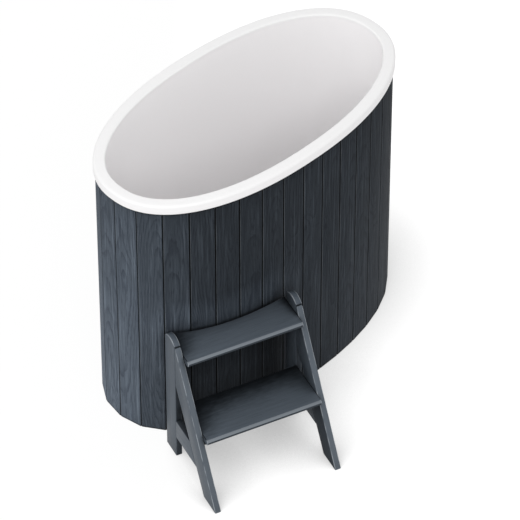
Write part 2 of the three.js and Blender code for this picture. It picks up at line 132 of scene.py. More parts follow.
def mixColours(tree, share, first, second, blend="MIX"):
    node = addNode(tree, "ShaderNodeMix", data_type="RGBA", blend_type=blend)
    for key, value in (("Factor_Float", share), ("A_Color", first), ("B_Color", second)):
        socket = next(s for s in node.inputs if s.identifier == key)
        if isinstance(value, bpy.types.NodeSocket):
            tree.links.new(value, socket)
        else:
            socket.default_value = value
    return next(s for s in node.outputs if s.identifier == "Result_Color")


def noise(tree, vector, scale, detail=2.0, roughness=0.5):
    inputs = {"Vector": vector, "Scale": scale, "Detail": detail, "Roughness": roughness}
    return addNode(tree, "ShaderNodeTexNoise", inputs).outputs[0]


def newGroup(name, inputs, outputs):
    tree = bpy.data.node_groups.new(name, "ShaderNodeTree")
    for label, kind, value in inputs:
        socket = tree.interface.new_socket(label, in_out="INPUT", socket_type="NodeSocket" + kind)
        if value is not None:
            socket.default_value = value
    for label, kind in outputs:
        tree.interface.new_socket(label, in_out="OUTPUT", socket_type="NodeSocket" + kind)
    return tree, addNode(tree, "NodeGroupInput"), addNode(tree, "NodeGroupOutput")


def placeGroup(tree, group, inputs):
    node = addNode(tree, "ShaderNodeGroup")
    node.node_tree = group
    for key, value in inputs.items():
        if isinstance(value, bpy.types.NodeSocket):
            tree.links.new(value, node.inputs[key])
        else:
            node.inputs[key].default_value = value
    return node


def newMaterial(name):
    material = bpy.data.materials.new(name)
    material.use_nodes = True
    tree = material.node_tree
    tree.nodes.clear()
    shader = addNode(tree, "ShaderNodeBsdfPrincipled")
    addNode(tree, "ShaderNodeOutputMaterial", {"Surface": shader.outputs[0]})
    return material, tree, shader


def bumpNormal(tree, height, distance, strength):
    inputs = {"Height": height, "Distance": distance, "Strength": strength}
    return addNode(tree, "ShaderNodeBump", inputs).outputs[0]


# Wood figure: growth rings of a flat-sawn board, knots and fibres.
# The vector runs across the board, into it and along it, in metres.

def buildWoodFigure():
    tree, given, result = newGroup(
        "woodFigure",
        [
            ("Vector", "Vector", None),
            ("Seed", "Float", 0.0),
            ("Ring Spacing", "Float", 0.009),
            ("Arch", "Float", 0.06),
            ("Knot Size", "Float", 0.006),
        ],
        [(label, "Float") for label in ("Rings", "Streaks", "Fibres", "Pores", "Knots", "Cloud", "Tone")],
    )
    seed = given.outputs["Seed"]
    chance = addNode(tree, "ShaderNodeTexWhiteNoise", {"W": seed}, noise_dimensions="1D")
    picks = addNode(tree, "ShaderNodeSeparateColor", {0: chance.outputs["Color"]})
    shift = addNode(tree, "ShaderNodeCombineXYZ", {0: maths(tree, "MULTIPLY", seed, 1.7), 2: seed}).outputs[0]
    moved = vectors(tree, "ADD", given.outputs["Vector"], vectors(tree, "MULTIPLY", shift, (1.0, 1.0, 3.1)))
    parts = addNode(tree, "ShaderNodeSeparateXYZ", {0: given.outputs["Vector"]})
    across = parts.outputs[0]
    along = parts.outputs[2]

    # knots: one feature point in each long cell, with its true distance
    cell = (0.105, 0.62, 1.0)
    flatPlace = addNode(tree, "ShaderNodeCombineXYZ", {
        0: maths(tree, "ADD", across, maths(tree, "MULTIPLY", seed, 0.731)),
        1: maths(tree, "ADD", along, maths(tree, "MULTIPLY", seed, 0.417)),
    }).outputs[0]
    inCells = vectors(tree, "DIVIDE", flatPlace, cell)
    cells = addNode(tree, "ShaderNodeTexVoronoi", {"Vector": inCells, "Scale": 1.0}, voronoi_dimensions="2D")
    offset = vectors(tree, "MULTIPLY", vectors(tree, "SUBTRACT", inCells, cells.outputs["Position"]), cell)
    knotReach = vectors(tree, "LENGTH", vectors(tree, "MULTIPLY", offset, (1.0, 0.62, 0.0)))
    kept = maths(tree, "GREATER_THAN", addNode(tree, "ShaderNodeSeparateColor", {
        0: cells.outputs["Color"],
    }).outputs[0], 0.45)
    knotSize = given.outputs["Knot Size"]
    knots = maths(tree, "MULTIPLY", kept, maths(tree, "SUBTRACT", 1.0, ramp(tree, maths(
        tree, "DIVIDE", knotReach, knotSize), 0.45, 1.25)))
    swell = maths(tree, "MULTIPLY", kept, maths(tree, "SUBTRACT", 1.0, ramp(tree, maths(
        tree, "DIVIDE", knotReach, knotSize), 0.2, 6.0)))

    # rings: the distance from a pith that wanders behind the face
    slow = vectors(tree, "MULTIPLY", moved, (3.0, 3.0, 1.6))
    wander = maths(tree, "MULTIPLY", maths(tree, "SUBTRACT", noise(tree, slow, 1.0, 2.0), 0.5), 0.075)
    side = maths(tree, "MULTIPLY", maths(tree, "SUBTRACT", picks.outputs[0], 0.5), 0.06)
    fromPith = maths(tree, "ADD", maths(tree, "ADD", across, side), wander)
    drift = noise(tree, vectors(tree, "ADD", slow, (17.0, 5.0, 3.0)), 1.0, 2.0)
    slope = maths(tree, "MULTIPLY", maths(tree, "SUBTRACT", picks.outputs[1], 0.5), given.outputs["Arch"])
    depth = maths(tree, "ADD", maths(tree, "MULTIPLY", along, slope), maths(tree, "MULTIPLY", drift, 0.085))
    squares = maths(tree, "ADD", maths(tree, "MULTIPLY", fromPith, fromPith), maths(tree, "MULTIPLY", depth, depth))
    radius = maths(tree, "ADD", maths(tree, "SQRT", squares), maths(tree, "MULTIPLY", swell, 0.014))
    ripple = noise(tree, vectors(tree, "MULTIPLY", moved, (46.0, 46.0, 15.0)), 1.0, 2.0)
    radius = maths(tree, "MULTIPLY_ADD", ripple, 0.009, radius)
    phase = maths(tree, "FRACT", maths(tree, "DIVIDE", radius, given.outputs["Ring Spacing"]))
    late = maths(tree, "MULTIPLY", ramp(tree, phase, 0.40, 0.90), maths(
        tree, "SUBTRACT", 1.0, ramp(tree, phase, 0.92, 1.0)))

    fibre = noise(tree, vectors(tree, "MULTIPLY", moved, (620.0, 620.0, 9.0)), 1.0, 3.0, 0.6)
    streak = noise(tree, vectors(tree, "MULTIPLY", moved, (150.0, 150.0, 3.0)), 1.0, 3.0, 0.6)
    pore = noise(tree, vectors(tree, "MULTIPLY", moved, (300.0, 300.0, 17.0)), 1.0, 2.0, 0.5)
    cloud = noise(tree, vectors(tree, "MULTIPLY", moved, (34.0, 34.0, 6.0)), 1.0, 3.0, 0.6)
    for label, socket in (
        ("Rings", late), ("Streaks", streak), ("Fibres", fibre), ("Pores", pore), ("Knots", knots), ("Cloud", cloud),
        ("Tone", picks.outputs[2]),
    ):
        tree.links.new(socket, result.inputs[label])
    return tree


# Fine unevenness of a moulded or sprayed surface

def buildMouldedSkin():
    tree, given, result = newGroup(
        "mouldedSkin",
        [("Vector", "Vector", None), ("Grain", "Float", 900.0), ("Cloud", "Float", 6.0)],
        [("Grain", "Float"), ("Cloud", "Float")],
    )
    grain = noise(tree, given.outputs["Vector"], given.outputs["Grain"], 2.0)
    cloud = noise(tree, given.outputs["Vector"], given.outputs["Cloud"], 3.0)
    tree.links.new(grain, result.inputs["Grain"])
    tree.links.new(cloud, result.inputs["Cloud"])
    return tree


woodFigure = buildWoodFigure()
mouldedSkin = buildMouldedSkin()


# Paints and woods

wallPaintLook = {
    "base": (0.0240, 0.0293, 0.0365, 1.0),
    "groove": (0.008, 0.010, 0.014, 1.0),
    "paler": (0.058, 0.070, 0.085, 1.0),
    "ringSpacing": 0.0085,
    "arch": 0.17,
    "knotSize": 0.010,
    "ringShare": 0.66,
    "knotShare": 0.60,
    "streakShare": 0.50,
    "poreShare": 0.65,
    "toneSpan": 0.30,
    "cloudSpan": 0.70,
    "roughness": (0.62, 0.80),
    "bump": 0.0009,
    "specular": 0.09,
    "joint": (0.0000, 0.0008),        # depth below the board's face where the joint darkens
    "jointShade": 0.92,
    "jointLitRange": (1.7, 2.4),          # the board's painted light at which the joint starts and ends to be painted less dark, as if lit inside
    "jointSoft": 0.55,
    "arris": (0.0382, 0.0408),        # distance from the board's middle where its edge gets a painted highlight
    "arrisHighlight": (0.17, 0.19, 0.21, 1.0),
    "arrisHighlightShare": 0.55,
    "cornerReach": 0.18,
    "cornerShade": 0.92,
    "cornerPower": 1.6,
    "openShare": 0.0,
    "coverReach": 0.35,
    "coverGain": 2.0,
    "coverShade": 0.60,
    "paintedLift": 1.1,                      # painted light: lighter above a tread, whose dark paint bounces little light onto the wall
    "liftReach": 0.13,
    "liftFrom": (0.20, 0.34),
    "gapReach": 0.013,
    "gapPower": 2.0,
}

stairPaintLook = {
    "base": (0.091, 0.110, 0.133, 1.0),
    "groove": (0.034, 0.042, 0.053, 1.0),
    "paler": (0.082, 0.095, 0.112, 1.0),
    "ringSpacing": 0.016,
    "arch": 0.05,
    "knotSize": 0.003,
    "ringShare": 0.16,
    "knotShare": 0.10,
    "streakShare": 0.22,
    "poreShare": 0.20,
    "toneSpan": 0.14,
    "cloudSpan": 0.24,
    "roughness": (0.34, 0.46),
    "shadeRough": 0.55,
    "bump": 0.0002,
    "specular": 0.10,
    # painted highlight on the edges that face the lamps
    "edgeHighlightColour": (0.38, 0.41, 0.44, 1.0),
    "edgeShare": 0.70,
    "edgePatch": 22.0,
    "edgeHighlightPatches": (0.33, 0.62),
    "edgeBroken": (0.85, 1.00),       # painted highlight from which an edge is highlighted in patches only
    "seamShade": 0.80,
    "cornerReach": 0.08,
    "cornerShade": 0.72,
    "cornerPower": 1.5,
    "openShare": 0.3,
    "coverReach": 0.35,
    "coverGain": 1.0,
    "coverShade": 0.40,
    # painted shade at the treads' back and ends
    "grimeShade": 0.88,
}


def scaled(tree, colour, level):
    node = addNode(tree, "ShaderNodeVectorMath", {0: colour, "Scale": level}, operation="SCALE")
    return node.outputs[0]


def spread(tree, value, span):  # a mask turned into a level about 1
    return maths(tree, "MULTIPLY_ADD", value, span, 1.0 - span / 2)


def jointedEdges(tree, look, place, colour, patch, paintedLight):  # dark V-joints with a painted highlight on the arrises; the joints are painted less dark where the board has painted light
    parts = addNode(tree, "ShaderNodeSeparateXYZ", {0: place}).outputs
    depth = ramp(tree, parts[1], *look["joint"])
    beside = ramp(tree, maths(tree, "MULTIPLY", parts[0], -1.0), *look["arris"])
    onFace = maths(tree, "SUBTRACT", 1.0, depth)
    paler = maths(tree, "MULTIPLY", maths(tree, "MULTIPLY", beside, onFace), maths(
        tree, "MULTIPLY", patch, look["arrisHighlightShare"]))
    lighter = mixColours(tree, paler, colour, look["arrisHighlight"])
    # painted light: the joint is less dark on the boards painted lighter
    soft = maths(tree, "MULTIPLY_ADD", ramp(tree, paintedLight, *look["jointLitRange"]), look["jointSoft"], -look["jointShade"])
    return scaled(tree, lighter, maths(tree, "MULTIPLY_ADD", depth, soft, 1.0))


def easedEdges(tree, look, colour, patch, edge, seamAndShade):  # painted highlight on eased edges, painted shade where the edge value is below zero, dark where another board meets them
    highlit = maths(tree, "MULTIPLY", maths(tree, "MAXIMUM", edge, 0.0), maths(
        tree, "MULTIPLY", patch, look["edgeShare"]))
    lighter = mixColours(tree, highlit, colour, look["edgeHighlightColour"])
    return scaled(tree, lighter, maths(tree, "MULTIPLY_ADD", seamAndShade, -look["seamShade"], 1.0))


def paintedTreadShade(tree, look, place, colour):  # painted shade at the back and the ends of the treads, where the upper tread and the side frames shade them
    far = addNode(tree, "ShaderNodeAttribute", attribute_name="treadPlace").outputs["Vector"]
    ragged = maths(tree, "MULTIPLY_ADD", noise(tree, vectors(tree, "MULTIPLY", place, (90.0, 90.0, 30.0)), 1.0, 3.0), 0.45, -0.225)
    unshaded = 1.0
    for socket in addNode(tree, "ShaderNodeSeparateXYZ", {0: far}).outputs:
        unshaded = maths(tree, "MULTIPLY", unshaded, ramp(tree, maths(tree, "ADD", socket, ragged), 0.0, 1.0))
    return scaled(tree, colour, maths(tree, "MULTIPLY_ADD", unshaded, look["grimeShade"], 1.0 - look["grimeShade"]))


def openness(tree, reach, lean):  # the share of the light from one side that nothing near keeps out
    facing = addNode(tree, "ShaderNodeNewGeometry").outputs["Normal"]
    leaning = vectors(tree, "NORMALIZE", vectors(tree, "ADD", facing, lean))
    seen = addNode(tree, "ShaderNodeAmbientOcclusion", {"Distance": reach, "Normal": leaning}, samples=8)
    upright = addNode(tree, "ShaderNodeVectorMath", {0: facing, 1: leaning}, operation="DOT_PRODUCT")
    whole = maths(tree, "MULTIPLY_ADD", upright.outputs["Value"], 0.5, 0.5)   # the rest lies behind the surface
    return maths(tree, "DIVIDE", seen.outputs["AO"], whole)


def paintedCornerShade(tree, look):  # painted shade: darker in corners, and more so where a board lies above
    near = openness(tree, look["cornerReach"], (0.0, 0.0, 0.0))
    cover = maths(tree, "SUBTRACT", 1.0, openness(tree, look["coverReach"], (0.0, 0.0, 2.0)))
    corner = maths(tree, "SUBTRACT", 1.0, maths(tree, "POWER", near, look["cornerPower"]))
    covered = maths(tree, "MINIMUM", maths(tree, "MULTIPLY_ADD", cover, look["coverGain"], look["openShare"]), 1.0)
    inCorner = maths(tree, "MULTIPLY_ADD", maths(tree, "MULTIPLY", corner, covered), -look["cornerShade"], 1.0)
    shade = maths(tree, "MULTIPLY", inCorner, maths(tree, "MULTIPLY_ADD", cover, -look["coverShade"], 1.0))
    if "paintedLift" not in look:
        return shade
    # painted light just above a tread
    below = maths(tree, "SUBTRACT", 1.0, openness(tree, look["liftReach"], (0.0, 0.0, -2.0)))
    height = addNode(tree, "ShaderNodeSeparateXYZ", {0: addNode(tree, "ShaderNodeTexCoord").outputs["Object"]})
    raised = maths(tree, "MULTIPLY", below, ramp(tree, height.outputs[2], *look["liftFrom"]))
    paintedLift = maths(tree, "MULTIPLY", raised, maths(tree, "MULTIPLY", maths(tree, "SUBTRACT", 1.0, covered), look["paintedLift"]))
    # painted shade in narrow gaps, such as behind a tread
    gap = maths(tree, "POWER", openness(tree, look["gapReach"], (0.0, 0.0, 0.0)), look["gapPower"])
    return maths(tree, "MULTIPLY", maths(tree, "MULTIPLY", shade, gap), maths(tree, "ADD", paintedLift, 1.0))


def paintedWood(name, look):
    material, tree, shader = newMaterial(name)
    place = addNode(tree, "ShaderNodeAttribute", attribute_name="boardCoord").outputs["Vector"]
    seed = addNode(tree, "ShaderNodeAttribute", attribute_name="boardSeed").outputs["Fac"]
    figure = placeGroup(tree, woodFigure, {
        "Vector": place,
        "Seed": seed,
        "Ring Spacing": look["ringSpacing"],
        "Arch": look["arch"],
        "Knot Size": look["knotSize"],
    }).outputs
    shown = maths(tree, "MULTIPLY", ramp(tree, figure["Cloud"], 0.28, 0.62), look["ringShare"])
    rings = maths(tree, "MULTIPLY", figure["Rings"], shown)
    pores = maths(tree, "MULTIPLY", ramp(tree, figure["Pores"], 0.54, 0.70), look["poreShare"])
    knots = maths(tree, "MULTIPLY", figure["Knots"], look["knotShare"])
    dark = maths(tree, "MAXIMUM", maths(tree, "MAXIMUM", rings, pores), knots)
    painted = mixColours(tree, dark, look["base"], look["groove"])
    thin = maths(tree, "MULTIPLY", ramp(tree, figure["Streaks"], 0.50, 0.70), look["streakShare"])
    brushed = mixColours(tree, thin, painted, look["paler"])
    fine = maths(tree, "MULTIPLY", spread(tree, figure["Fibres"], 0.5), spread(tree, figure["Cloud"], look["cloudSpan"]))
    colour = scaled(tree, brushed, maths(tree, "MULTIPLY", fine, spread(tree, figure["Tone"], look["toneSpan"])))
    low, high = look["roughness"]
    rough = addNode(tree, "ShaderNodeMapRange", {0: figure["Streaks"], 1: 0.2, 2: 0.8, 3: high, 4: low}).outputs[0]
    if "joint" in look:
        # painted light: boards that face the lamps are painted lighter
        paintedLight = addNode(tree, "ShaderNodeAttribute", attribute_name="boardFade").outputs["Fac"]
        colour = scaled(tree, colour, paintedLight)
        colour = jointedEdges(tree, look, place, colour, ramp(tree, figure["Cloud"], 0.30, 0.60), paintedLight)
    else:
        edge = addNode(tree, "ShaderNodeAttribute", attribute_name="edge").outputs["Fac"]
        # painted highlight on the edges, broken into patches
        patch = maths(tree, "MAXIMUM", ramp(tree, noise(tree, place, look["edgePatch"], 3.0), *look["edgeHighlightPatches"]), maths(
            tree, "SUBTRACT", 1.0, ramp(tree, edge, *look["edgeBroken"])))
        # painted shade on nose undersides, inner faces below the lower tread, leg fronts, rail tops and cleats, with
        # the dark seams where boards meet
        seamAndShade = maths(tree, "MAXIMUM", maths(tree, "MULTIPLY", edge, -1.0), 0.0)
        rough = maths(tree, "MULTIPLY_ADD", seamAndShade, look["shadeRough"], rough)   # no sheen in the shade
        colour = easedEdges(tree, look, colour, patch, edge, seamAndShade)
        colour = paintedTreadShade(tree, look, place, colour)
    tree.links.new(scaled(tree, colour, paintedCornerShade(tree, look)), shader.inputs["Base Color"])
    tree.links.new(rough, shader.inputs["Roughness"])
    relief = maths(tree, "SUBTRACT", maths(tree, "MULTIPLY", figure["Fibres"], 0.45), rings)
    tree.links.new(bumpNormal(tree, relief, look["bump"], 0.6), shader.inputs["Normal"])
    shader.inputs["Specular IOR Level"].default_value = look["specular"]
    return material


bareWoodLooks = {
    "timber": {
        "onBoard": True,
        "early": (0.50, 0.33, 0.17, 1.0),
        "late": (0.30, 0.17, 0.075, 1.0),
        "ringSpacing": 0.006,
        "arch": 0.1,
    },
    "plywood": {
        "onBoard": False,
        "early": (0.56, 0.40, 0.22, 1.0),
        "late": (0.40, 0.26, 0.13, 1.0),
        "ringSpacing": 0.019,
        "arch": 0.05,
    },
}


def bareWood(name):
    look = bareWoodLooks[name]
    material, tree, shader = newMaterial(name)
    if look["onBoard"]:
        place = addNode(tree, "ShaderNodeAttribute", attribute_name="boardCoord").outputs["Vector"]
        seed = addNode(tree, "ShaderNodeAttribute", attribute_name="boardSeed").outputs["Fac"]
    else:
        onObject = addNode(tree, "ShaderNodeTexCoord").outputs["Object"]
        turn = {"Vector": onObject, "Rotation": (math.radians(90), 0.0, 0.0)}
        place, seed = addNode(tree, "ShaderNodeMapping", turn).outputs[0], 3.0
    figure = placeGroup(tree, woodFigure, {
        "Vector": place,
        "Seed": seed,
        "Ring Spacing": look["ringSpacing"],
        "Arch": look["arch"],
        "Knot Size": 0.008,
    })
    dark = maths(tree, "MAXIMUM", figure.outputs["Rings"], figure.outputs["Knots"])
    colour = mixColours(tree, dark, look["early"], look["late"])
    fine = maths(tree, "ADD", maths(tree, "MULTIPLY", figure.outputs["Fibres"], 0.6), 0.7)
    tree.links.new(scaled(tree, colour, fine), shader.inputs["Base Color"])
    tree.links.new(ramp(tree, figure.outputs["Fibres"], -0.6, 1.1), shader.inputs["Roughness"])
    tree.links.new(bumpNormal(tree, figure.outputs["Fibres"], 0.0004, 0.6), shader.inputs["Normal"])
    return material


# Moulded and metal finishes: colours of the low and high cloud, roughness range, grain and its relief

mouldedLooks = {
    "gelcoat": {
        "low": (0.948, 0.935, 0.940, 1.0),
        "high": (0.958, 0.945, 0.950, 1.0),
        "roughness": (0.40, 0.46),
        "rimShadeFrom": (1.012, 1.030),    # painted shade: the rim, which takes the most light, is a little greyer than the inside
        "rimShade": (0.965, 0.974, 0.971, 1.0),
        "grain": 160.0,
        "cloud": 2.4,
        "relief": 0.00004,
        "specular": 0.4,
        "metallic": 0.0,
    },
    "plastic": {
        "low": (0.045, 0.049, 0.053, 1.0),
        "high": (0.068, 0.073, 0.078, 1.0),
        "roughness": (0.38, 0.56),
        "grain": 1400.0,
        "cloud": 30.0,
        "relief": 0.0002,
        "specular": 0.5,
        "metallic": 0.0,
    },
    "rubber": {
        "low": (0.012, 0.012, 0.013, 1.0),
        "high": (0.022, 0.022, 0.023, 1.0),
        "roughness": (0.7, 0.9),
        "grain": 1800.0,
        "cloud": 40.0,
        "relief": 0.0002,
        "specular": 0.3,
        "metallic": 0.0,
    },
    "valveMetal": {
        "low": (0.50, 0.48, 0.44, 1.0),
        "high": (0.62, 0.60, 0.56, 1.0),
        "roughness": (0.24, 0.42),
        "grain": 700.0,
        "cloud": 45.0,
        "relief": 0.0001,
        "specular": 0.5,
        "metallic": 1.0,
    },
}


def moulded(name):
    look = mouldedLooks[name]
    material, tree, shader = newMaterial(name)
    place = addNode(tree, "ShaderNodeTexCoord").outputs["Object"]
    skin = placeGroup(tree, mouldedSkin, {"Vector": place, "Grain": look["grain"], "Cloud": look["cloud"]})
    colour = mixColours(tree, ramp(tree, skin.outputs["Cloud"], 0.3, 0.7), look["low"], look["high"])
    if "rimShadeFrom" in look:
        # painted shade on the rim
        onRim = ramp(tree, addNode(tree, "ShaderNodeSeparateXYZ", {0: place}).outputs[2], *look["rimShadeFrom"])
        colour = mixColours(tree, onRim, colour, look["rimShade"], "MULTIPLY")
    tree.links.new(colour, shader.inputs["Base Color"])
    low, high = look["roughness"]
    rough = addNode(tree, "ShaderNodeMapRange", {0: skin.outputs["Cloud"], 1: 0.25, 2: 0.75, 3: low, 4: high})
    tree.links.new(rough.outputs[0], shader.inputs["Roughness"])
    tree.links.new(bumpNormal(tree, skin.outputs["Grain"], look["relief"], 0.35), shader.inputs["Normal"])
    shader.inputs["Specular IOR Level"].default_value = look["specular"]
    shader.inputs["Metallic"].default_value = look["metallic"]
    return material


wallPaint = paintedWood("wallPaint", wallPaintLook)
stairPaint = paintedWood("stairPaint", stairPaintLook)
timber = bareWood("timber")
plywood = bareWood("plywood")
gelcoat = moulded("gelcoat")
plastic = moulded("plastic")
rubber = moulded("rubber")
valveMetal = moulded("valveMetal")
print("materials made:", len(bpy.data.materials))


# Tub outline, shared by the wall and the liner

tub = {"length": 1.190, "width": 0.627, "power": 2.21}   # over the corners of the staves


def ovalPoint(angle, inset):
    across = abs(math.cos(angle) / (tub["length"] / 2 - inset)) ** tub["power"]
    along = abs(math.sin(angle) / (tub["width"] / 2 - inset)) ** tub["power"]
    radius = (across + along) ** (-1 / tub["power"])
    return radius * math.cos(angle), radius * math.sin(angle)


# Wall of staves: one blank, set round the oval by geometry nodes

stave = {
    "blankWidth": 0.087,
    "thickness": 0.018,
    "chamfer": 0.0025,
    "gap": 0.0003,
    "tongueLength": 0.007,
    "tongueThickness": 0.006,
    "easing": 0.0007,
    "ovalSteps": 1440,
    "paintedLightFacing": (-0.94, 0.34, 0.0),   # painted light: the boards that face this way, towards the lamps, are painted lighter, by this share
    "paintedLight": 2.60,
    "paintedLightLow": 1.20,                    # more painted light towards the floor
    "paintedLightPower": 1.35,
}


def staveBlank():
    half = stave["blankWidth"] / 2
    gap = stave["gap"]
    side = half - gap / 2
    chamfer = stave["chamfer"]
    top = (stave["thickness"] - stave["tongueThickness"]) / 2
    foot = top + stave["tongueThickness"]
    tip = half + stave["tongueLength"]
    slot = tip - 2 * half + gap
    section = [
        (chamfer - side, 0), (side - chamfer, 0), (side, chamfer),
        (side, top), (tip, top), (tip, foot), (side, foot), (side, stave["thickness"]),
        (-side, stave["thickness"]), (-side, foot + gap), (slot, foot + gap), (slot, top - gap),
        (-side, top - gap), (-side, chamfer),
    ]
    low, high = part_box(staveNodes[0])
    shape = bmesh.new()
    lower = [shape.verts.new((x, y, low.z)) for x, y in section]
    upper = [shape.verts.new((x, y, high.z)) for x, y in section]
    shape.faces.new(lower)
    shape.faces.new(list(reversed(upper)))
    for index in range(len(section)):
        follow = (index + 1) % len(section)
        shape.faces.new((lower[index], upper[index], upper[follow], lower[follow]))
    bmesh.ops.recalc_face_normals(shape, faces=shape.faces)
    front = [e for e in shape.edges if all(v.co.y < chamfer * 1.01 for v in e.verts)]
    bmesh.ops.bevel(shape, geom=front, offset=stave["easing"], segments=2, affect="EDGES", profile=0.5)
    mesh = meshFrom(shape, "staveBlank")
    reach = []
    for vertex in mesh.vertices:
        x, y, _ = vertex.co
        inSlot = top - 2 * gap < y < foot + 2 * gap and abs(x - slot) < gap
        reach.append(stave["tongueLength"] if x > half else -stave["tongueLength"] if inSlot else 0.0)
    storeValues(mesh, "jointReach", "FLOAT", "POINT", reach)
    storeValues(mesh, "blankPoint", "FLOAT_VECTOR", "POINT", [v.co for v in mesh.vertices])
    return mesh


def buildStaveWall():
    tree = bpy.data.node_groups.new("staveWall", "GeometryNodeTree")
    sockets = {}
    for label, kind in (
        ("Blank", "Object"), ("Staves", "Int"), ("Length", "Float"), ("Width", "Float"), ("Power", "Float"),
        ("Blank Width", "Float"), ("Oval Steps", "Int"), ("Paint", "Material"),
    ):
        sockets[label] = tree.interface.new_socket(label, in_out="INPUT", socket_type="NodeSocket" + kind)
    tree.interface.new_socket("Geometry", in_out="OUTPUT", socket_type="NodeSocketGeometry")
    given = addNode(tree, "NodeGroupInput").outputs
    result = addNode(tree, "NodeGroupOutput")

    # the oval, drawn on a circle of unit radius
    circle = addNode(tree, "GeometryNodeCurvePrimitiveCircle", {"Resolution": given["Oval Steps"], "Radius": 1.0})
    position = addNode(tree, "GeometryNodeInputPosition").outputs[0]
    parts = addNode(tree, "ShaderNodeSeparateXYZ", {0: position})
    shares = []
    for axis, label in ((0, "Length"), (1, "Width")):
        share = maths(tree, "DIVIDE", maths(tree, "ABSOLUTE", parts.outputs[axis]), maths(
            tree, "MULTIPLY", given[label], 0.5))
        shares.append(maths(tree, "POWER", share, given["Power"]))
    inverse = maths(tree, "DIVIDE", -1.0, given["Power"])
    radius = maths(tree, "POWER", maths(tree, "ADD", *shares), inverse)
    onOval = vectors(tree, "SCALE", position)
    tree.links.new(radius, onOval.node.inputs["Scale"])
    oval = addNode(tree, "GeometryNodeSetPosition", {"Geometry": circle.outputs[0], "Position": onOval})
    polygon = addNode(tree, "GeometryNodeResampleCurve", {"Curve": oval.outputs[0], "Count": given["Staves"]})

    # each stave's two corners, and the corners next to them
    index = addNode(tree, "GeometryNodeInputIndex").outputs[0]

    def corner(step):
        wrapped = maths(tree, "FLOORED_MODULO", maths(tree, "ADD", index, float(step)), given["Staves"])
        sample = addNode(tree, "GeometryNodeSampleIndex", {"Geometry": polygon.outputs[0]}, data_type="FLOAT_VECTOR")
        tree.links.new(position, sample.inputs["Value"])
        tree.links.new(wrapped, sample.inputs["Index"])
        return sample.outputs[0]

    before, start, end, after = (corner(step) for step in (-1, 0, 1, 2))
    along = vectors(tree, "NORMALIZE", vectors(tree, "SUBTRACT", end, start))
    chord = vectors(tree, "LENGTH", vectors(tree, "SUBTRACT", end, start))
    middle = vectors(tree, "MULTIPLY", vectors(tree, "ADD", start, end), (0.5, 0.5, 0.5))

    def halfTurn(first, second):  # the tangent of half the angle between two staves
        cross = addNode(tree, "ShaderNodeSeparateXYZ", {0: vectors(tree, "CROSS_PRODUCT", first, second)})
        return maths(tree, "DIVIDE", cross.outputs[2], maths(tree, "ADD", vectors(
            tree, "DOT_PRODUCT", first, second), 1.0))

    incoming = vectors(tree, "NORMALIZE", vectors(tree, "SUBTRACT", start, before))
    outgoing = vectors(tree, "NORMALIZE", vectors(tree, "SUBTRACT", after, end))
    geometry = addNode(tree, "GeometryNodePoints", {"Count": given["Staves"], "Position": middle}).outputs[0]
    for name, kind, value in (
        ("staveAlong", "FLOAT_VECTOR", along), ("staveMiddle", "FLOAT_VECTOR", middle), ("staveChord", "FLOAT", chord),
        ("startTurn", "FLOAT", halfTurn(incoming, along)), ("endTurn", "FLOAT", halfTurn(along, outgoing)),
        ("staveNumber", "FLOAT", index),
    ):
        store = addNode(tree, "GeometryNodeStoreNamedAttribute", {
            "Geometry": geometry, "Name": name, "Value": value,
        }, data_type=kind)
        geometry = store.outputs[0]

    def read(name, kind="FLOAT"):
        return addNode(tree, "GeometryNodeInputNamedAttribute", {"Name": name}, data_type=kind).outputs[0]

    blank = addNode(tree, "GeometryNodeObjectInfo", {"Object": given["Blank"]})
    facing = addNode(tree, "FunctionNodeAlignRotationToVector", {
        "Vector": read("staveAlong", "FLOAT_VECTOR"),
    }, axis="X", pivot_axis="Z")
    placed = addNode(tree, "GeometryNodeInstanceOnPoints", {
        "Points": geometry, "Instance": blank.outputs["Geometry"], "Rotation": facing.outputs[0],
    })
    staves = addNode(tree, "GeometryNodeRealizeInstances", {0: placed.outputs[0]})

    # mitre each stave to its neighbours and stretch it to its chord
    local = addNode(tree, "ShaderNodeSeparateXYZ", {0: read("blankPoint", "FLOAT_VECTOR")})
    share = maths(tree, "DIVIDE", local.outputs[0], maths(tree, "MULTIPLY", given["Blank Width"], 0.5))
    atEnd = maths(tree, "GREATER_THAN", share, 0.0)
    turn = addNode(tree, "ShaderNodeMix", {
        0: atEnd, 2: read("startTurn"), 3: read("endTurn"),
    }).outputs[0]
    mitre = maths(tree, "MULTIPLY", maths(tree, "MULTIPLY", local.outputs[1], turn), share)
    stretched = maths(tree, "MULTIPLY", maths(tree, "MULTIPLY", share, read("staveChord")), 0.5)
    slide = maths(tree, "SUBTRACT", maths(tree, "SUBTRACT", stretched, local.outputs[0]), mitre)
    lean = maths(tree, "MULTIPLY", read("jointReach"), turn)
    alongStave = read("staveAlong", "FLOAT_VECTOR")
    inward = vectors(tree, "CROSS_PRODUCT", (0.0, 0.0, 1.0), alongStave)
    slideBy = vectors(tree, "SCALE", alongStave)
    tree.links.new(slide, slideBy.node.inputs["Scale"])
    leanBy = vectors(tree, "SCALE", inward)
    tree.links.new(lean, leanBy.node.inputs["Scale"])
    mitred = addNode(tree, "GeometryNodeSetPosition", {
        "Geometry": staves.outputs[0], "Offset": vectors(tree, "ADD", slideBy, leanBy),
    })
    geometry = mitred.outputs[0]
    for name, kind in (("staveAlong", "FLOAT_VECTOR"), ("staveMiddle", "FLOAT_VECTOR"), ("staveNumber", "FLOAT")):
        store = addNode(tree, "GeometryNodeStoreNamedAttribute", {
            "Geometry": geometry, "Name": name + "Face", "Value": read(name, kind),
        }, data_type=kind, domain="FACE")
        geometry = store.outputs[0]
    painted = addNode(tree, "GeometryNodeSetMaterial", {"Geometry": geometry, "Material": given["Paint"]})
    tree.links.new(painted.outputs[0], result.inputs[0])
    return tree, sockets


# Drain run: from the drain in the floor out through the wall to the valve

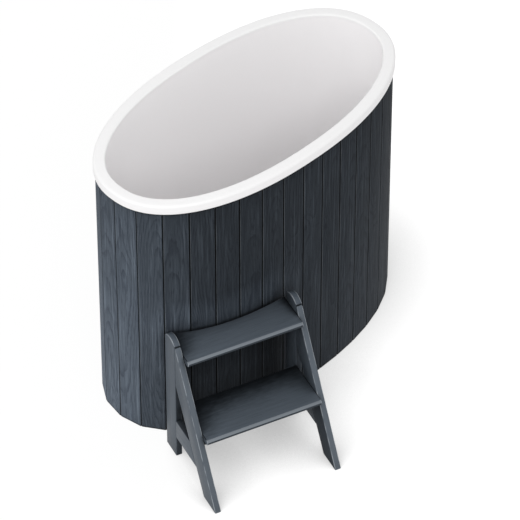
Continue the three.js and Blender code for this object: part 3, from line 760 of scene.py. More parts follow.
leverJoint = next(joint for joint in frame["joints"] if joint["type"] == "hinge")
valvePoint = Vector(leverJoint["pos_m"])
drainLow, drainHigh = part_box("drain_body")
drainPoint = (drainLow + drainHigh) / 2
pipeLow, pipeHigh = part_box("drain_pipe")
pipeHeight = (pipeLow.z + pipeHigh.z) / 2
pipeRadius = (pipeHigh.z - pipeLow.z) / 2
drainOut = Vector((valvePoint.x - drainPoint.x, valvePoint.y - drainPoint.y, 0)).normalized()
drainAcross = Vector((0, 0, 1)).cross(drainOut)
drainFloor = Matrix.Translation((drainPoint.x, drainPoint.y, 0))
alongPipe = Matrix((
    (drainAcross.x, 0, drainOut.x, drainPoint.x),
    (drainAcross.y, 0, drainOut.y, drainPoint.y),
    (0, -1, 0, pipeHeight),
    (0, 0, 0, 1),
))


def turnedMesh(name, profile, place, segments=64):  # a closed profile of (radius, height), going up outside
    shape = bmesh.new()
    rings = []
    for radius, height in profile:
        if radius < 1e-6:
            rings.append([shape.verts.new((0, 0, height))] * segments)
            continue
        rings.append([
            shape.verts.new((
                radius * math.cos(2 * math.pi * step / segments),
                radius * math.sin(2 * math.pi * step / segments),
                height,
            ))
            for step in range(segments)
        ])
    closed = profile[0][0] > 1e-6
    for index in range(len(rings) if closed else len(rings) - 1):
        lower, upper = rings[index], rings[(index + 1) % len(rings)]
        for step in range(segments):
            follow = (step + 1) % segments
            corners = dict.fromkeys((lower[step], lower[follow], upper[follow], upper[step]))
            if len(corners) > 2:
                shape.faces.new(corners)
    bmesh.ops.recalc_face_normals(shape, faces=shape.faces)
    shape.transform(place)
    bmesh.ops.recalc_face_normals(shape, faces=shape.faces)
    return meshFrom(shape, name)


def combine(mesh, other, operation):
    scratch = scratchObject(mesh.name, mesh)
    tool = scratchObject("tool", other)
    modifier = scratch.modifiers.new("combine", "BOOLEAN")
    modifier.operation = operation
    modifier.solver = "EXACT"
    modifier.object = tool
    combined = finishedMesh(scratch)
    bpy.data.objects.remove(tool)
    bpy.data.meshes.remove(other)
    return combined


def cutMesh(mesh, cutter):
    return combine(mesh, cutter, "DIFFERENCE")


def rod(name, radius, low, high, place, segments=48):
    return turnedMesh(name, [(0, low), (radius, low), (radius, high), (0, high)], place, segments)


def makeWall():
    tree, sockets = buildStaveWall()
    blank = scratchObject("staveBlank", staveBlank())
    base = scratchObject("staveWall", bpy.data.meshes.new("staveWallBase"))
    modifier = base.modifiers.new("staves", "NODES")
    modifier.node_group = tree
    for label, value in (
        ("Blank", blank), ("Staves", len(staveNodes)), ("Length", tub["length"]), ("Width", tub["width"]),
        ("Power", tub["power"]), ("Blank Width", stave["blankWidth"]), ("Oval Steps", stave["ovalSteps"]),
        ("Paint", wallPaint),
    ):
        modifier[sockets[label].identifier] = value
    mesh = finishedMesh(base)
    blankMesh = blank.data
    bpy.data.objects.remove(blank)
    bpy.data.meshes.remove(blankMesh)

    # the pipe's way out through one stave; the cutter takes that stave's frame with it
    hole = {"clearance": 0.0008, "from": 0.18, "to": 0.26}
    cutter = rod("pipeHole", pipeRadius + hole["clearance"], hole["from"], hole["to"], alongPipe)
    throughWall = Vector((drainPoint.x, drainPoint.y, pipeHeight)) + drainOut * (hole["from"] + hole["to"]) / 2
    nearest = min(mesh.polygons, key=lambda face: (Vector((face.center.x, face.center.y, pipeHeight)) - throughWall).length)
    for name, kind in (
        ("staveAlongFace", "FLOAT_VECTOR"), ("staveMiddleFace", "FLOAT_VECTOR"), ("staveNumberFace", "FLOAT"),
    ):
        item = mesh.attributes[name].data[nearest.index]
        value = tuple(item.vector) if kind == "FLOAT_VECTOR" else item.value
        storeValues(cutter, name, kind, "FACE", [value] * len(cutter.polygons))
    mesh = cutMesh(mesh, cutter)

    # where each point lies on its own stave: across, into and along it
    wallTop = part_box(staveNodes[0])[1].z
    places = [(0.0, 0.0, 0.0)] * len(mesh.vertices)
    seeds = [0.0] * len(mesh.vertices)
    paintedLights = [1.0] * len(mesh.vertices)
    alongs = mesh.attributes["staveAlongFace"].data
    middles = mesh.attributes["staveMiddleFace"].data
    numbers = mesh.attributes["staveNumberFace"].data
    for face in mesh.polygons:
        along = Vector(alongs[face.index].vector)
        inward = Vector((0, 0, 1)).cross(along)
        for index in face.vertices:
            offset = mesh.vertices[index].co - Vector(middles[face.index].vector)
            places[index] = (offset.dot(along), offset.dot(inward), offset.z)
            seeds[index] = numbers[face.index].value
            # painted light, by how far the board faces the lamps, more so low down
            facingLight = max(0.0, -inward.dot(Vector(stave["paintedLightFacing"])))
            lowness = 1.0 - mesh.vertices[index].co.z / wallTop
            paintedLights[index] = 1.0 + (stave["paintedLight"] + stave["paintedLightLow"] * lowness) * facingLight ** stave["paintedLightPower"]
    for name in [a.name for a in mesh.attributes if a.name.startswith(("stave", "blank", "joint", "startTurn", "endTurn"))]:
        mesh.attributes.remove(mesh.attributes[name])
    storeValues(mesh, "boardCoord", "FLOAT_VECTOR", "POINT", places)
    storeValues(mesh, "boardSeed", "FLOAT", "POINT", seeds)
    storeValues(mesh, "boardFade", "FLOAT", "POINT", paintedLights)
    smoothByAngle(mesh, 40)
    return newPiece("wallStaves", mesh, wallPaint, "tub", staveNodes)


wall = makeWall()
print("wall made:", len(wall.data.polygons), "faces")


# Liner: ovals lofted along the shell's section

linerShape = {
    "shell": 0.005,
    "lipDrop": 0.035,
    "rimInset": -0.006,
    "wallInset": 0.0354,
    "taper": 0.045,
    "rimOuterRadius": 0.009,
    "rimInnerRadius": 0.007,
    "floorRadius": 0.070,
    "segments": 204,
    "floorSteps": 14,
    "rimSteps": 7,
    "wallSteps": 12,
}


def arcPoints(centreX, centreY, radius, start, end, steps):
    angles = [math.radians(start + (end - start) * step / steps) for step in range(steps + 1)]
    return [(centreX + radius * math.cos(angle), centreY + radius * math.sin(angle)) for angle in angles]


def between(first, last, steps):  # the points inside a straight run
    shares = [step / steps for step in range(1, steps)]
    return [tuple(a + (b - a) * share for a, b in zip(first, last)) for share in shares]


def linerSection():
    low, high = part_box("liner")
    shell = linerShape["shell"]
    floorTop = low.z + shell
    underside = high.z - shell
    outer, inner = linerShape["rimOuterRadius"], linerShape["rimInnerRadius"]
    bend, steps = linerShape["floorRadius"], linerShape["floorSteps"]
    rim, wallInset = linerShape["rimInset"], linerShape["wallInset"]
    bendHeight = floorTop + bend
    drawnIn = linerShape["taper"] * (underside - bendHeight) / (underside - floorTop)
    bendInset = wallInset + drawnIn + bend
    lip = shell / 2
    rimSteps = linerShape["rimSteps"]
    floorArc = arcPoints(bendInset, bendHeight, bend, 270, 180, steps)
    innerArc = arcPoints(wallInset - inner, high.z - inner, inner, 0, 90, rimSteps)
    underArc = arcPoints(bendInset, bendHeight, bend + shell, 180, 270, steps)
    shoulder = (wallInset - shell, underside)
    return [
        *floorArc,
        *between(floorArc[-1], innerArc[0], linerShape["wallSteps"]),
        *innerArc,
        *arcPoints(rim + outer, high.z - outer, outer, 90, 180, rimSteps),
        *arcPoints(rim + lip, high.z - linerShape["lipDrop"] + lip, lip, 180, 360, rimSteps),
        (rim + shell, underside),
        shoulder,
        *between(shoulder, underArc[0], linerShape["wallSteps"]),
        *underArc,
    ]


def linerAngles(count):  # equal steps along the rim
    fine = [ovalPoint(2 * math.pi * step / 4000, linerShape["rimInset"]) for step in range(4001)]
    lengths = [0.0]
    for (x0, y0), (x1, y1) in zip(fine, fine[1:]):
        lengths.append(lengths[-1] + math.hypot(x1 - x0, y1 - y0))
    angles = []
    index = 0
    for step in range(count):
        target = lengths[-1] * step / count
        while lengths[index + 1] < target:
            index += 1
        share = (target - lengths[index]) / (lengths[index + 1] - lengths[index])
        angles.append(2 * math.pi * (index + share) / 4000)
    return angles


def makeLiner():
    section = linerSection()
    angles = linerAngles(linerShape["segments"])
    shape = bmesh.new()
    rings = [
        [shape.verts.new((*ovalPoint(angle, inset), height)) for angle in angles] for inset, height in section
    ]
    for inner, outer in zip(rings, rings[1:]):
        for step in range(len(angles)):
            follow = (step + 1) % len(angles)
            shape.faces.new((inner[step], outer[step], outer[follow], inner[follow]))
    for ring, flip in ((rings[0], False), (rings[-1], True)):
        shape.faces.new(list(reversed(ring)) if flip else ring)
    bmesh.ops.recalc_face_normals(shape, faces=shape.faces)
    mesh = meshFrom(shape, "linerShell")
    low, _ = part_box("liner")
    shell = linerShape["shell"]
    hole = rod("drainHole", pipeRadius + stave["gap"], low.z - shell, low.z + 2 * shell, drainFloor)
    mesh = cutMesh(mesh, hole)
    smoothByAngle(mesh, 40)
    return newPiece("linerShell", mesh, gelcoat, "tub", ["liner"])


liner = makeLiner()
print("liner made:", len(liner.data.polygons), "faces")


# Boards with eased edges: the stair and the bearers

easing = {
    "frame": 0.0026,
    "rail": 0.0012,
    "tread": 0.0022,
    "cleat": 0.0015,
    "bearer": 0.003,
    "segments": 3,
    "weld": 1e-5,
    "seamAndShade": 0.0035,
    # painted highlight on lit edges, nose tops and stringer fronts; painted shade below zero
    "edgeHighlight": 1.0,
    "treadEdgeHighlight": 0.85,
    "noseHighlight": 0.46,
    "noseShade": -0.65,
    "cleatShade": -0.6,
    "frontHighlight": 0.10,
    "insideShade": -0.62,
    "legShade": -0.6,
    "railShade": -0.45,
}

grime = {
    "upper_tread": (0.02, 0.13, 0.04),   # reach of the painted shade from back, left and right
    "lower_tread": (0.11, 0.23, 0.006),
    "frontPower": 6,                     # how late the painted shade at the ends gives out towards the front
}

stairPull = next(joint for joint in frame["joints"] if joint["type"] == "slide")
stairFront = Vector(stairPull["axis"]).normalized()
stairAcross = Vector((0, 0, 1)).cross(stairFront)
upwards = Vector((0, 0, 1))
lowerTread = sum(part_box("lower_tread"), Vector()) / 2


def stringerLine(nodeName):  # the slope of a stringer's front edge
    points = [vertex.co for vertex in nodes[nodeName].data.vertices]
    top = max(points, key=lambda point: point.z)
    foot = max((point for point in points if point.z < 1e-4), key=lambda point: point.dot(stairFront))
    slope = top - foot
    return (slope - stairAcross * slope.dot(stairAcross)).normalized()


stairNodes = sorted(name for name in nodes if name.startswith(("stair_", "upper_", "lower_")))
stairTrees = {}
for nodeName in stairNodes:
    board = nodes[nodeName].data
    corners = [vertex.co.copy() for vertex in board.vertices]
    stairTrees[nodeName] = BVHTree.FromPolygons(corners, [tuple(face.vertices) for face in board.polygons])


def meetsBoard(point, nodeName):  # whether another board of the stair lies against this edge
    others = [tree for name, tree in stairTrees.items() if name != nodeName and "rail" not in name]
    return any(tree.find_nearest(point, easing["seamAndShade"])[0] is not None for tree in others)


def edgeTone(nodeName, face):  # painted highlight above zero, painted shade below
    forward = face.normal.dot(stairFront)
    inward = face.normal.dot(stairAcross) * (1 if nodeName.endswith("left") else -1)
    if "cleat" in nodeName:
        return easing["cleatShade"]
    if face.material_index == 1:
        if "rail" in nodeName:
            return 0.0
        if meetsBoard(face.center, nodeName):
            return -1.0
        highlit = face.normal.z > 0.2 if "leg" in nodeName else forward > 0.25
        return easing["treadEdgeHighlight" if "tread" in nodeName else "edgeHighlight"] if highlit else 0.0
    if "tread" in nodeName and forward > 0.3:
        return easing["noseHighlight" if face.normal.z > 0.35 else "noseShade"]
    if "stringer" in nodeName and forward > 0.3:
        return easing["frontHighlight"]
    if "stringer" in nodeName and inward > 0.7 and face.center.z < lowerTread.z:
        return easing["insideShade"]
    if "leg" in nodeName and forward > 0.7:
        return easing["legShade"]
    if "rail" in nodeName and face.normal.z > 0.7:
        return easing["railShade"]
    return 0.0


def treadPlaces(nodeName, mesh):  # how far each point is from a tread's back and ends, as a share of the painted shade's reach
    if nodeName not in grime:
        return [(9.0, 9.0, 9.0)] * len(mesh.vertices)
    fronts = [vertex.co.dot(stairFront) for vertex in mesh.vertices]
    sides = [vertex.co.dot(stairAcross) for vertex in mesh.vertices]
    back, left, right = grime[nodeName]
    rear, depth = min(fronts), max(fronts) - min(fronts)
    return [
        (
            (front - rear) / back,
            (side - min(sides)) / left + ((front - rear) / depth) ** grime["frontPower"],
            (max(sides) - side) / right + ((front - rear) / depth) ** grime["frontPower"],
        )
        for front, side in zip(fronts, sides)
    ]


def easedBoard(nodeName, pieceName, width, along, seed, material, body):
    shape = bmesh.new()
    shape.from_mesh(nodes[nodeName].data)
    bmesh.ops.remove_doubles(shape, verts=shape.verts, dist=easing["weld"])
    bmesh.ops.dissolve_limit(shape, angle_limit=math.radians(1), verts=shape.verts, edges=shape.edges)
    if "stringer" in nodeName:
        everything = shape.verts[:] + shape.edges[:] + shape.faces[:]
        bmesh.ops.bisect_plane(shape, geom=everything, plane_co=lowerTread, plane_no=upwards)
    for face in shape.faces:
        face.smooth = True
    scratch = scratchObject(pieceName, meshFrom(shape, pieceName))
    for _ in range(2):
        scratch.data.materials.append(material)
    bevel = scratch.modifiers.new("easing", "BEVEL")
    bevel.width = width
    bevel.segments = easing["segments"]
    bevel.limit_method = "ANGLE"
    bevel.angle_limit = math.radians(35)
    bevel.harden_normals = True
    bevel.material = 1
    mesh = finishedMesh(scratch)
    edges = [edgeTone(nodeName, face) for face in mesh.polygons]
    mesh.polygons.foreach_set("material_index", [0] * len(edges))
    storeValues(mesh, "edge", "FLOAT", "FACE", edges)
    low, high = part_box(nodeName)
    middle = (low + high) / 2
    across = along.cross(stairAcross if abs(along.dot(stairAcross)) < 0.5 else upwards).normalized()
    into = along.cross(across)
    offsets = [vertex.co - middle for vertex in mesh.vertices]
    storeValues(mesh, "boardCoord", "FLOAT_VECTOR", "POINT", [
        (offset.dot(across), offset.dot(into), offset.dot(along)) for offset in offsets
    ])
    storeValues(mesh, "boardSeed", "FLOAT", "POINT", [float(seed)] * len(offsets))
    storeValues(mesh, "treadPlace", "FLOAT_VECTOR", "POINT", treadPlaces(nodeName, mesh))
    return newPiece(pieceName, mesh, material, body, [nodeName])


def makeStair():
    slope = stringerLine("stair_stringer_left")
    boards = []
    for hand in ("left", "right"):
        boards += [
            (f"stair_leg_{hand}", "frame", upwards),
            (f"stair_stringer_{hand}", "frame", slope),
            (f"stair_rail_{hand}", "rail", stairFront),
            (f"upper_cleat_{hand}", "cleat", stairFront),
            (f"lower_cleat_{hand}", "cleat", stairFront),
        ]
    boards += [("upper_tread", "tread", stairAcross), ("lower_tread", "tread", stairAcross)]
    for seed, (nodeName, kind, along) in enumerate(boards, start=50):
        easedBoard(nodeName, nodeName + "_eased", easing[kind], along, seed, stairPaint, "stair")
    return len(boards)


print("stair boards made:", makeStair())

for seed, nodeName in enumerate(("bearer_left", "bearer_middle", "bearer_right"), start=80):
    easedBoard(nodeName, nodeName + "_eased", easing["bearer"], Vector((0, 1, 0)), seed, timber, "tub")


# Drain and valve, turned and swept round where the plain nodes have flats

drain = {
    "round": 0.0012,
    "bore": 0.013,
    "flangeBottom": 0.0862,
    "dishRadius": 0.020,
    "dishDepth": 0.0010,
    "holeRadius": 0.003,
    "holeCircle": 0.008,
    "holeCount": 6,
    "nutFlats": 0.052,
    "bend": 0.022,
    "socketDepth": 0.010,
    "socketRadius": 0.020,
    "collarLength": 0.008,
    "collarRise": 0.0012,
    "bendSteps": 16,
    "arcSteps": 5,
    "segments": 64,
}

valve = {
    "inlet": (0.244, 0.266),
    "inletRadius": 0.022,
    "hexFlats": 0.042,
    "hex": (0.2475, 0.2625),
    "housingRadius": 0.0233,
    "housingTurn": 40,
    "housingSteps": 20,
    "cavityRadius": 0.0173,
    "tail": (0.3266, 0.3626),
    "tailRadius": 0.013,
    "outletRadius": 0.018,
    "barbs": 3,
    "barbRise": 0.002,
    "barbCrest": 0.25,
    "hoseBore": 0.010,
    "ballRadius": 0.0167,
    "ballBore": 0.011,
    "stemRadius": 0.005,
    "bossRadius": 0.010,
    "bossTop": 0.0323,
    "stemTop": 0.0376,
    "round": 0.0008,
}

lever = {
    "length": 0.092,
    "hubRadius": 0.012,
    "tipRadius": 0.008,
    "thickness": (0.0326, 0.0366),
    "easing": 0.0011,
    "gripFrom": 0.040,
    "gripSwell": 0.0016,
}

fitGap = stave["gap"]
drainFrame = Matrix((
    (drainOut.x, drainAcross.x, 0, drainPoint.x),
    (drainOut.y, drainAcross.y, 0, drainPoint.y),
    (0, 0, 1, 0),
    (0, 0, 0, 1),
))
valveAlong = (valvePoint - drainPoint).dot(drainOut)
valveFrame = drainFrame @ Matrix.Translation((valveAlong, 0, pipeHeight))


def prism(name, outline, low, high, place, easedBy):  # an outline drawn up between two heights, its rims eased
    shape = bmesh.new()
    lower = [shape.verts.new((x, y, low)) for x, y in outline]
    upper = [shape.verts.new((x, y, high)) for x, y in outline]
    shape.faces.new(list(reversed(lower)))
    shape.faces.new(upper)
    for index in range(len(outline)):
        follow = (index + 1) % len(outline)
        shape.faces.new((lower[index], lower[follow], upper[follow], upper[index]))
    rims = [edge for edge in shape.edges if abs(edge.verts[0].co.z - edge.verts[1].co.z) < 1e-6]
    bmesh.ops.bevel(shape, geom=rims, offset=easedBy, segments=3, affect="EDGES", profile=0.5)
    shape.transform(place)
    bmesh.ops.recalc_face_normals(shape, faces=shape.faces)
    return meshFrom(shape, name)


def hexOutline(flats):
    corner = flats / math.sqrt(3)
    return [(corner * math.cos(math.pi * step / 3), corner * math.sin(math.pi * step / 3)) for step in range(6)]


def sweptTube(name, stations, inside, place):  # stations: middle, direction and outer radius, in the plane of x and z
    shape = bmesh.new()
    segments = drain["segments"]
    side = Vector((0, 1, 0))
    rings = []
    for middle, direction, radius in stations + [(m, d, inside) for m, d, _ in reversed(stations)]:
        other = Vector(direction).cross(side)
        turns = [2 * math.pi * step / segments for step in range(segments)]
        rings.append([
            shape.verts.new(Vector(middle) + side * (radius * math.cos(turn)) + other * (radius * math.sin(turn)))
            for turn in turns
        ])
    for index, ring in enumerate(rings):
        after = rings[(index + 1) % len(rings)]
        for step in range(segments):
            follow = (step + 1) % segments
            shape.faces.new((ring[step], ring[follow], after[follow], after[step]))
    shape.transform(place)
    bmesh.ops.recalc_face_normals(shape, faces=shape.faces)
    return meshFrom(shape, name)


def roundPiece(name, mesh, material, body, nodeName):
    smoothByAngle(mesh, 35)
    return newPiece(name, mesh, material, body, [nodeName])


def makeDrainBody():
    low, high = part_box("drain_body")
    _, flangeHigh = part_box("drain_gasket")
    radius = (flangeHigh.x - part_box("drain_gasket")[0].x) / 2 + 0.003
    bottom, size = drain["flangeBottom"], drain["round"]
    dish = high.z - drain["dishDepth"]
    mesh = turnedMesh("drainStrainer", [
        (0, bottom), (drain["bore"], bottom), (drain["bore"], low.z), (pipeRadius, low.z), (pipeRadius, bottom),
        *arcPoints(radius - size / 2, bottom + size / 2, size / 2, -90, 0, drain["arcSteps"]),
        *arcPoints(radius - size, high.z - size, size, 0, 90, drain["arcSteps"]),
        (drain["dishRadius"] + size, high.z), (drain["dishRadius"], dish), (0, dish),
    ], drainFloor, drain["segments"])
    for step in range(drain["holeCount"] + 1):
        turn = 2 * math.pi * step / drain["holeCount"]
        reach = drain["holeCircle"] if step else 0.0
        spot = drainFrame @ Matrix.Translation((reach * math.cos(turn), reach * math.sin(turn), 0))
        mesh = cutMesh(mesh, rod("strainerHole", drain["holeRadius"], bottom - 0.002, high.z + 0.002, spot, 32))
    return roundPiece("drainStrainer", mesh, plastic, "tub", "drain_body")


def makeGasket():
    low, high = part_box("drain_gasket")
    radius, size = (high.x - low.x) / 2, (high.z - low.z) / 2
    mesh = turnedMesh("drainSeal", [
        (pipeRadius + fitGap, low.z),
        *arcPoints(radius - size, low.z + size, size, -90, 90, 2 * drain["arcSteps"]),
        (pipeRadius + fitGap, high.z),
    ], drainFloor, drain["segments"])
    return roundPiece("drainSeal", mesh, rubber, "tub", "drain_gasket")


def makeLocknut():
    low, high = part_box("drain_locknut")
    mesh = prism("drainNut", hexOutline(drain["nutFlats"]), low.z, high.z, drainFrame, drain["round"])
    mesh = cutMesh(mesh, rod("nutBore", pipeRadius + fitGap, low.z - 0.002, high.z + 0.002, drainFloor, 64))
    return roundPiece("drainNut", mesh, plastic, "tub", "drain_locknut")


def makeElbow():
    _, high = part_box("drain_elbow")
    bend, collar, rise = drain["bend"], drain["collarLength"], drain["collarRise"]
    outer, size = drain["socketRadius"], drain["round"]
    runs = [(0.0, outer + rise - size), (size, outer + rise), (collar - size, outer + rise), (collar, outer)]
    stations = [((0, 0, high.z - run), (0, 0, -1), radius) for run, radius in runs]
    for step in range(drain["bendSteps"] + 1):
        turn = math.radians(90) * step / drain["bendSteps"]
        middle = (bend - bend * math.cos(turn), 0, pipeHeight + bend - bend * math.sin(turn))
        stations.append((middle, (math.sin(turn), 0, -math.cos(turn)), outer))
    end = bend + drain["socketDepth"]
    stations += [((end - run, 0, pipeHeight), (1, 0, 0), radius) for run, radius in reversed(runs)]
    mesh = sweptTube("drainBend", stations, pipeRadius + fitGap, drainFrame)
    return roundPiece("drainBend", mesh, plastic, "tub", "drain_elbow")


def makePipe():
    start, end, size = drain["bend"] + fitGap, valve["inlet"][0] + drain["socketDepth"] - fitGap, 0.0006
    mesh = turnedMesh("drainTube", [
        (drain["bore"], start), (pipeRadius - size, start), (pipeRadius, start + size),
        (pipeRadius, end - size), (pipeRadius - size, end), (drain["bore"], end),
    ], alongPipe, drain["segments"])
    return roundPiece("drainTube", mesh, plastic, "tub", "drain_pipe")


def makeValveBody():
    start, inletEnd = valve["inlet"]
    tailStart, tailEnd = valve["tail"]
    size, housing, cavity = valve["round"], valve["housingRadius"], valve["cavityRadius"]
    swing = valve["housingTurn"]
    dome = arcPoints(valveAlong, 0, housing, 180 - swing, swing, valve["housingSteps"])
    mouth = math.degrees(math.asin(valve["ballBore"] / cavity))
    pocket = arcPoints(valveAlong, 0, cavity, mouth, 180 - mouth, valve["housingSteps"])
    pitch = (tailEnd - tailStart) / valve["barbs"]
    barbs = []
    for step in range(valve["barbs"]):
        foot = tailStart + pitch * step
        barbs += [
            (valve["tailRadius"] + valve["barbRise"], foot + pitch * valve["barbCrest"]),
            (valve["tailRadius"], foot + pitch),
        ]
    socket = start + drain["socketDepth"]
    mesh = turnedMesh("valveCasting", [
        (pipeRadius + fitGap, start), (valve["inletRadius"] - size, start), (valve["inletRadius"], start + size),
        (valve["inletRadius"], inletEnd - size), (valve["inletRadius"] - size, inletEnd),
        *[(radius, along) for along, radius in dome],
        (valve["outletRadius"], tailStart - size), (valve["outletRadius"] - size, tailStart),
        (valve["tailRadius"], tailStart), *barbs,
        (valve["hoseBore"], tailEnd), (valve["hoseBore"], tailStart), (valve["ballBore"], tailStart),
        *[(radius, along) for along, radius in pocket],
        (valve["ballBore"], socket), (pipeRadius + fitGap, socket),
    ], alongPipe, drain["segments"])
    hexNut = prism("valveHex", hexOutline(valve["hexFlats"]), *valve["hex"], alongPipe, size)
    hexBore = rod("valveHexBore", valve["inletRadius"] - 0.002, valve["hex"][0] - 0.01, valve["hex"][1] + 0.01, alongPipe)
    mesh = combine(mesh, cutMesh(hexNut, hexBore), "UNION")
    top, width = valve["bossTop"], valve["bossRadius"]
    boss = turnedMesh("valveBoss", [
        (0, (cavity + housing) / 2), (width, (cavity + housing) / 2), (width, top - size), (width - size, top), (0, top),
    ], valveFrame, 48)
    mesh = combine(mesh, boss, "UNION")
    mesh = cutMesh(mesh, rod("stemHole", valve["stemRadius"] + fitGap, 0.0, top + 0.002, valveFrame))
    return roundPiece("valveCasting", mesh, valveMetal, "tub", "valve_body")


def makeValveBall():
    radius, stem, size = valve["ballRadius"], valve["stemRadius"], valve["round"]
    outline = arcPoints(0, 0, radius, -90, 90, valve["housingSteps"])
    ball = turnedMesh("valveBallRound", [(0, -radius), *outline[1:-1], (0, radius)], valveFrame, 64)
    stemBottom = (valve["ballBore"] + radius) / 2
    spindle = turnedMesh("spindle", [
        (0, stemBottom), (stem, stemBottom), (stem, valve["stemTop"] - size), (stem - size, valve["stemTop"]),
        (0, valve["stemTop"]),
    ], valveFrame, 48)
    acrossPipe = valveFrame @ Matrix.Rotation(math.radians(90), 4, "X")
    mesh = combine(ball, spindle, "UNION")
    mesh = cutMesh(mesh, rod("ballBore", valve["ballBore"], -2 * radius, 2 * radius, acrossPipe))
    return roundPiece("valveBallRound", mesh, valveMetal, "valve", "valve_ball")


def leverOutline(start, swell):  # the lever from a given distance to its tip, along -y
    hub, tip, length = lever["hubRadius"], lever["tipRadius"], lever["length"]
    lean = math.degrees(math.asin((hub - tip) / length))
    ends = arcPoints(0, -length, tip + swell, 180 + lean, 360 - lean, 24)
    if start == 0:
        return arcPoints(0, 0, hub + swell, -lean, 180 + lean, 40) + ends
    half = hub - (hub - tip) * start / length + swell
    shoulder = 0.004
    right = arcPoints(half - shoulder, -start - shoulder, shoulder, 0, 90, 6)
    left = arcPoints(shoulder - half, -start - shoulder, shoulder, 90, 180, 6)
    return right + left + ends


def makeValveLever():
    low, high = lever["thickness"]
    swell = lever["gripSwell"]
    mesh = prism("valveHandle", leverOutline(0, 0.0), low, high, valveFrame, lever["easing"])
    grip = prism("leverGrip", leverOutline(lever["gripFrom"], swell), low - swell, high + swell, valveFrame, 2 * lever["easing"])
    mesh = combine(mesh, grip, "UNION")
    mesh = cutMesh(mesh, rod("leverHole", valve["stemRadius"] + fitGap, low - 0.002, high + 0.002, valveFrame))
    return roundPiece("valveHandle", mesh, plastic, "valve", "valve_lever")


for make in (
    makeDrainBody, makeGasket, makeLocknut, makeElbow, makePipe, makeValveBody, makeValveBall, makeValveLever,
):
    made = make()
    print("drain piece made:", made.name, len(made.data.polygons), "faces")


# Plain nodes that keep their shape and take a finish

finishes = {"middle_ring": plywood, "base_deck": plywood}

for nodeName, material in finishes.items():
    nodes[nodeName].data.materials.clear()
    nodes[nodeName].data.materials.append(material)


# Floor, background and light

stageLook = {"floorSize": 60.0, "floorBounce": 0.75, "shadowDepth": 0.08, "white": 1.014, "contact": 0.66, "contactReach": 0.42, "shadeFrom": (-1.3, -1.0, 0.0), "across": (0.712, -0.702, 0.0), "shadeSide": (-0.28, -0.17), "under": 0.36, "underReach": 0.26, "underStair": 0.36, "stairReach": (0.22, 0.42)}


def makeStage():
    size = stageLook["floorSize"] / 2
    mesh = bpy.data.meshes.new("floor")
    mesh.from_pydata([(-size, -size, 0), (size, -size, 0), (size, size, 0), (-size, size, 0)], [], [(0, 1, 2, 3)])
    floor = bpy.data.objects.new("floor", mesh)
    bpy.context.scene.collection.objects.link(floor)
    material = bpy.data.materials.new("floorPaint")
    material.use_nodes = True
    tree = material.node_tree
    tree.nodes.clear()
    path = addNode(tree, "ShaderNodeLightPath").outputs
    seen = maths(tree, "MAXIMUM", path["Is Camera Ray"], maths(
        tree, "MAXIMUM", path["Is Glossy Ray"], path["Is Transmission Ray"]))
    bounce = addNode(tree, "ShaderNodeBsdfDiffuse")
    bounce.inputs["Color"].default_value = (*[stageLook["floorBounce"]] * 3, 1.0)
    shadowed = addNode(tree, "ShaderNodeBsdfDiffuse")
    shadowed.inputs["Color"].default_value = (*[stageLook["shadowDepth"]] * 3, 1.0)
    # painted shadow in the floor's glow: darker near the tub and under the stair, from ambient occlusion leaning away
    # from the light
    near = openness(tree, stageLook["contactReach"], stageLook["shadeFrom"])
    over = openness(tree, stageLook["underReach"], (0.0, 0.0, 0.0))
    beside = maths(tree, "MULTIPLY_ADD", near, stageLook["contact"], 1.0 - stageLook["contact"])
    where = addNode(tree, "ShaderNodeTexCoord").outputs["Object"]
    middle = sum((*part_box("lower_tread"), *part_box("upper_tread")), Vector()) / 4
    off = addNode(tree, "ShaderNodeVectorMath", {0: where, 1: (middle.x, middle.y, 0.0)}, operation="DISTANCE")
    aroundStair = ramp(tree, off.outputs["Value"], *stageLook["stairReach"])
    depth = maths(tree, "MULTIPLY_ADD", aroundStair, -stageLook["underStair"], stageLook["under"] + stageLook["underStair"])
    beneath = maths(tree, "SUBTRACT", 1.0, maths(tree, "MULTIPLY", depth, maths(tree, "SUBTRACT", 1.0, over)))
    along = addNode(tree, "ShaderNodeVectorMath", {0: where, 1: stageLook["across"]}, operation="DOT_PRODUCT")
    shaded = ramp(tree, along.outputs["Value"], *stageLook["shadeSide"])   # none on the side of the light
    loss = maths(tree, "MULTIPLY", maths(tree, "SUBTRACT", 1.0, maths(tree, "MULTIPLY", beside, beneath)), shaded)
    level = maths(tree, "SUBTRACT", 1.0, loss)
    lit = maths(tree, "MULTIPLY", level, stageLook["white"] - stageLook["shadowDepth"])
    glow = addNode(tree, "ShaderNodeEmission", {"Strength": lit})
    shown = addNode(tree, "ShaderNodeAddShader", {0: shadowed.outputs[0], 1: glow.outputs[0]})
    mix = addNode(tree, "ShaderNodeMixShader", {0: seen, 1: bounce.outputs[0], 2: shown.outputs[0]})
    addNode(tree, "ShaderNodeOutputMaterial", {"Surface": mix.outputs[0]})
    mesh.materials.append(material)


lights = {
    "sky": 0.73,
    "aim": (0.0, 0.0, 0.5),
    "distance": 6.0,
    "keyFrom": (-0.80, 0.34, 0.50),
    "keySize": 4.5,
    "keyLevel": 0.13,
    "frontFrom": (-0.50, -0.52, 0.69),
    "frontSize": 2.5,
    "frontLevel": 0.26,
}


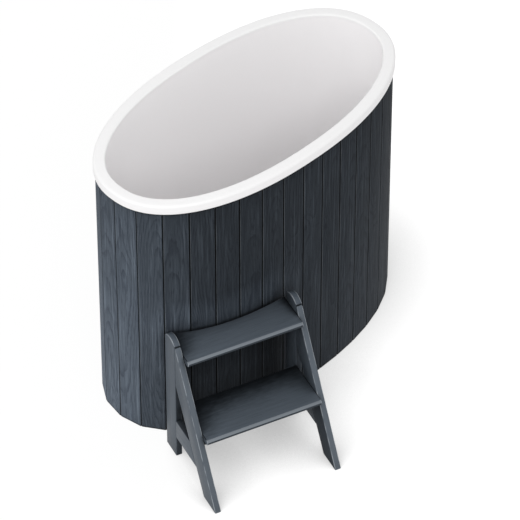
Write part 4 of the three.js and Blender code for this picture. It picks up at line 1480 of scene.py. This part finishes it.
def areaLight(name, place, aim, size, level):
    lamp = bpy.data.lights.new(name, "AREA")
    lamp.shape = "DISK"
    lamp.size = size
    away = Vector(place) - Vector(aim)
    lamp.energy = level * math.pi ** 2 * away.length_squared   # a level of 1 shows white paper as white
    lampObject = bpy.data.objects.new(name, lamp)
    bpy.context.scene.collection.objects.link(lampObject)
    lampObject.location = place
    lampObject.rotation_euler = (-away).to_track_quat("-Z", "Y").to_euler()


def makeLights():
    world = bpy.data.worlds.new("studio")
    bpy.context.scene.world = world
    world.use_nodes = True
    tree = world.node_tree
    tree.nodes.clear()
    path = addNode(tree, "ShaderNodeLightPath").outputs
    seen = maths(tree, "MAXIMUM", path["Is Camera Ray"], maths(
        tree, "MAXIMUM", path["Is Glossy Ray"], path["Is Transmission Ray"]))
    sky = addNode(tree, "ShaderNodeBackground", {"Color": (1, 1, 1, 1), "Strength": lights["sky"]})
    white = addNode(tree, "ShaderNodeBackground", {"Color": (1, 1, 1, 1), "Strength": 1.0})
    mix = addNode(tree, "ShaderNodeMixShader", {0: seen, 1: sky.outputs[0], 2: white.outputs[0]})
    addNode(tree, "ShaderNodeOutputWorld", {"Surface": mix.outputs[0]})
    aim = Vector(lights["aim"])
    for name in ("key", "front"):
        place = aim + Vector(lights[name + "From"]).normalized() * lights["distance"]
        areaLight(name + "Light", place, aim, lights[name + "Size"], lights[name + "Level"])


# Camera, at the photograph's angle

view = {
    "azimuth": -44.594, "elevation": 43.782, "distance": 14.79, "aim": (-0.0921, -0.1588, 0.5), "lens": 307.6,
}


def makeCamera():
    camera = bpy.data.cameras.new("camera")
    camera.sensor_width = 36
    camera.lens = view["lens"]
    cameraObject = bpy.data.objects.new("camera", camera)
    bpy.context.scene.collection.objects.link(cameraObject)
    azimuth = math.radians(view["azimuth"])
    elevation = math.radians(view["elevation"])
    back = Vector((
        math.sin(azimuth) * math.cos(elevation),
        -math.cos(azimuth) * math.cos(elevation),
        math.sin(elevation),
    ))
    cameraObject.location = Vector(view["aim"]) + back * view["distance"]
    cameraObject.rotation_euler = (-back).to_track_quat("-Z", "Y").to_euler()
    bpy.context.scene.camera = cameraObject


makeStage()
makeLights()
makeCamera()
bpy.context.scene.view_settings.view_transform = "Standard"
print("stage, lights and camera set")
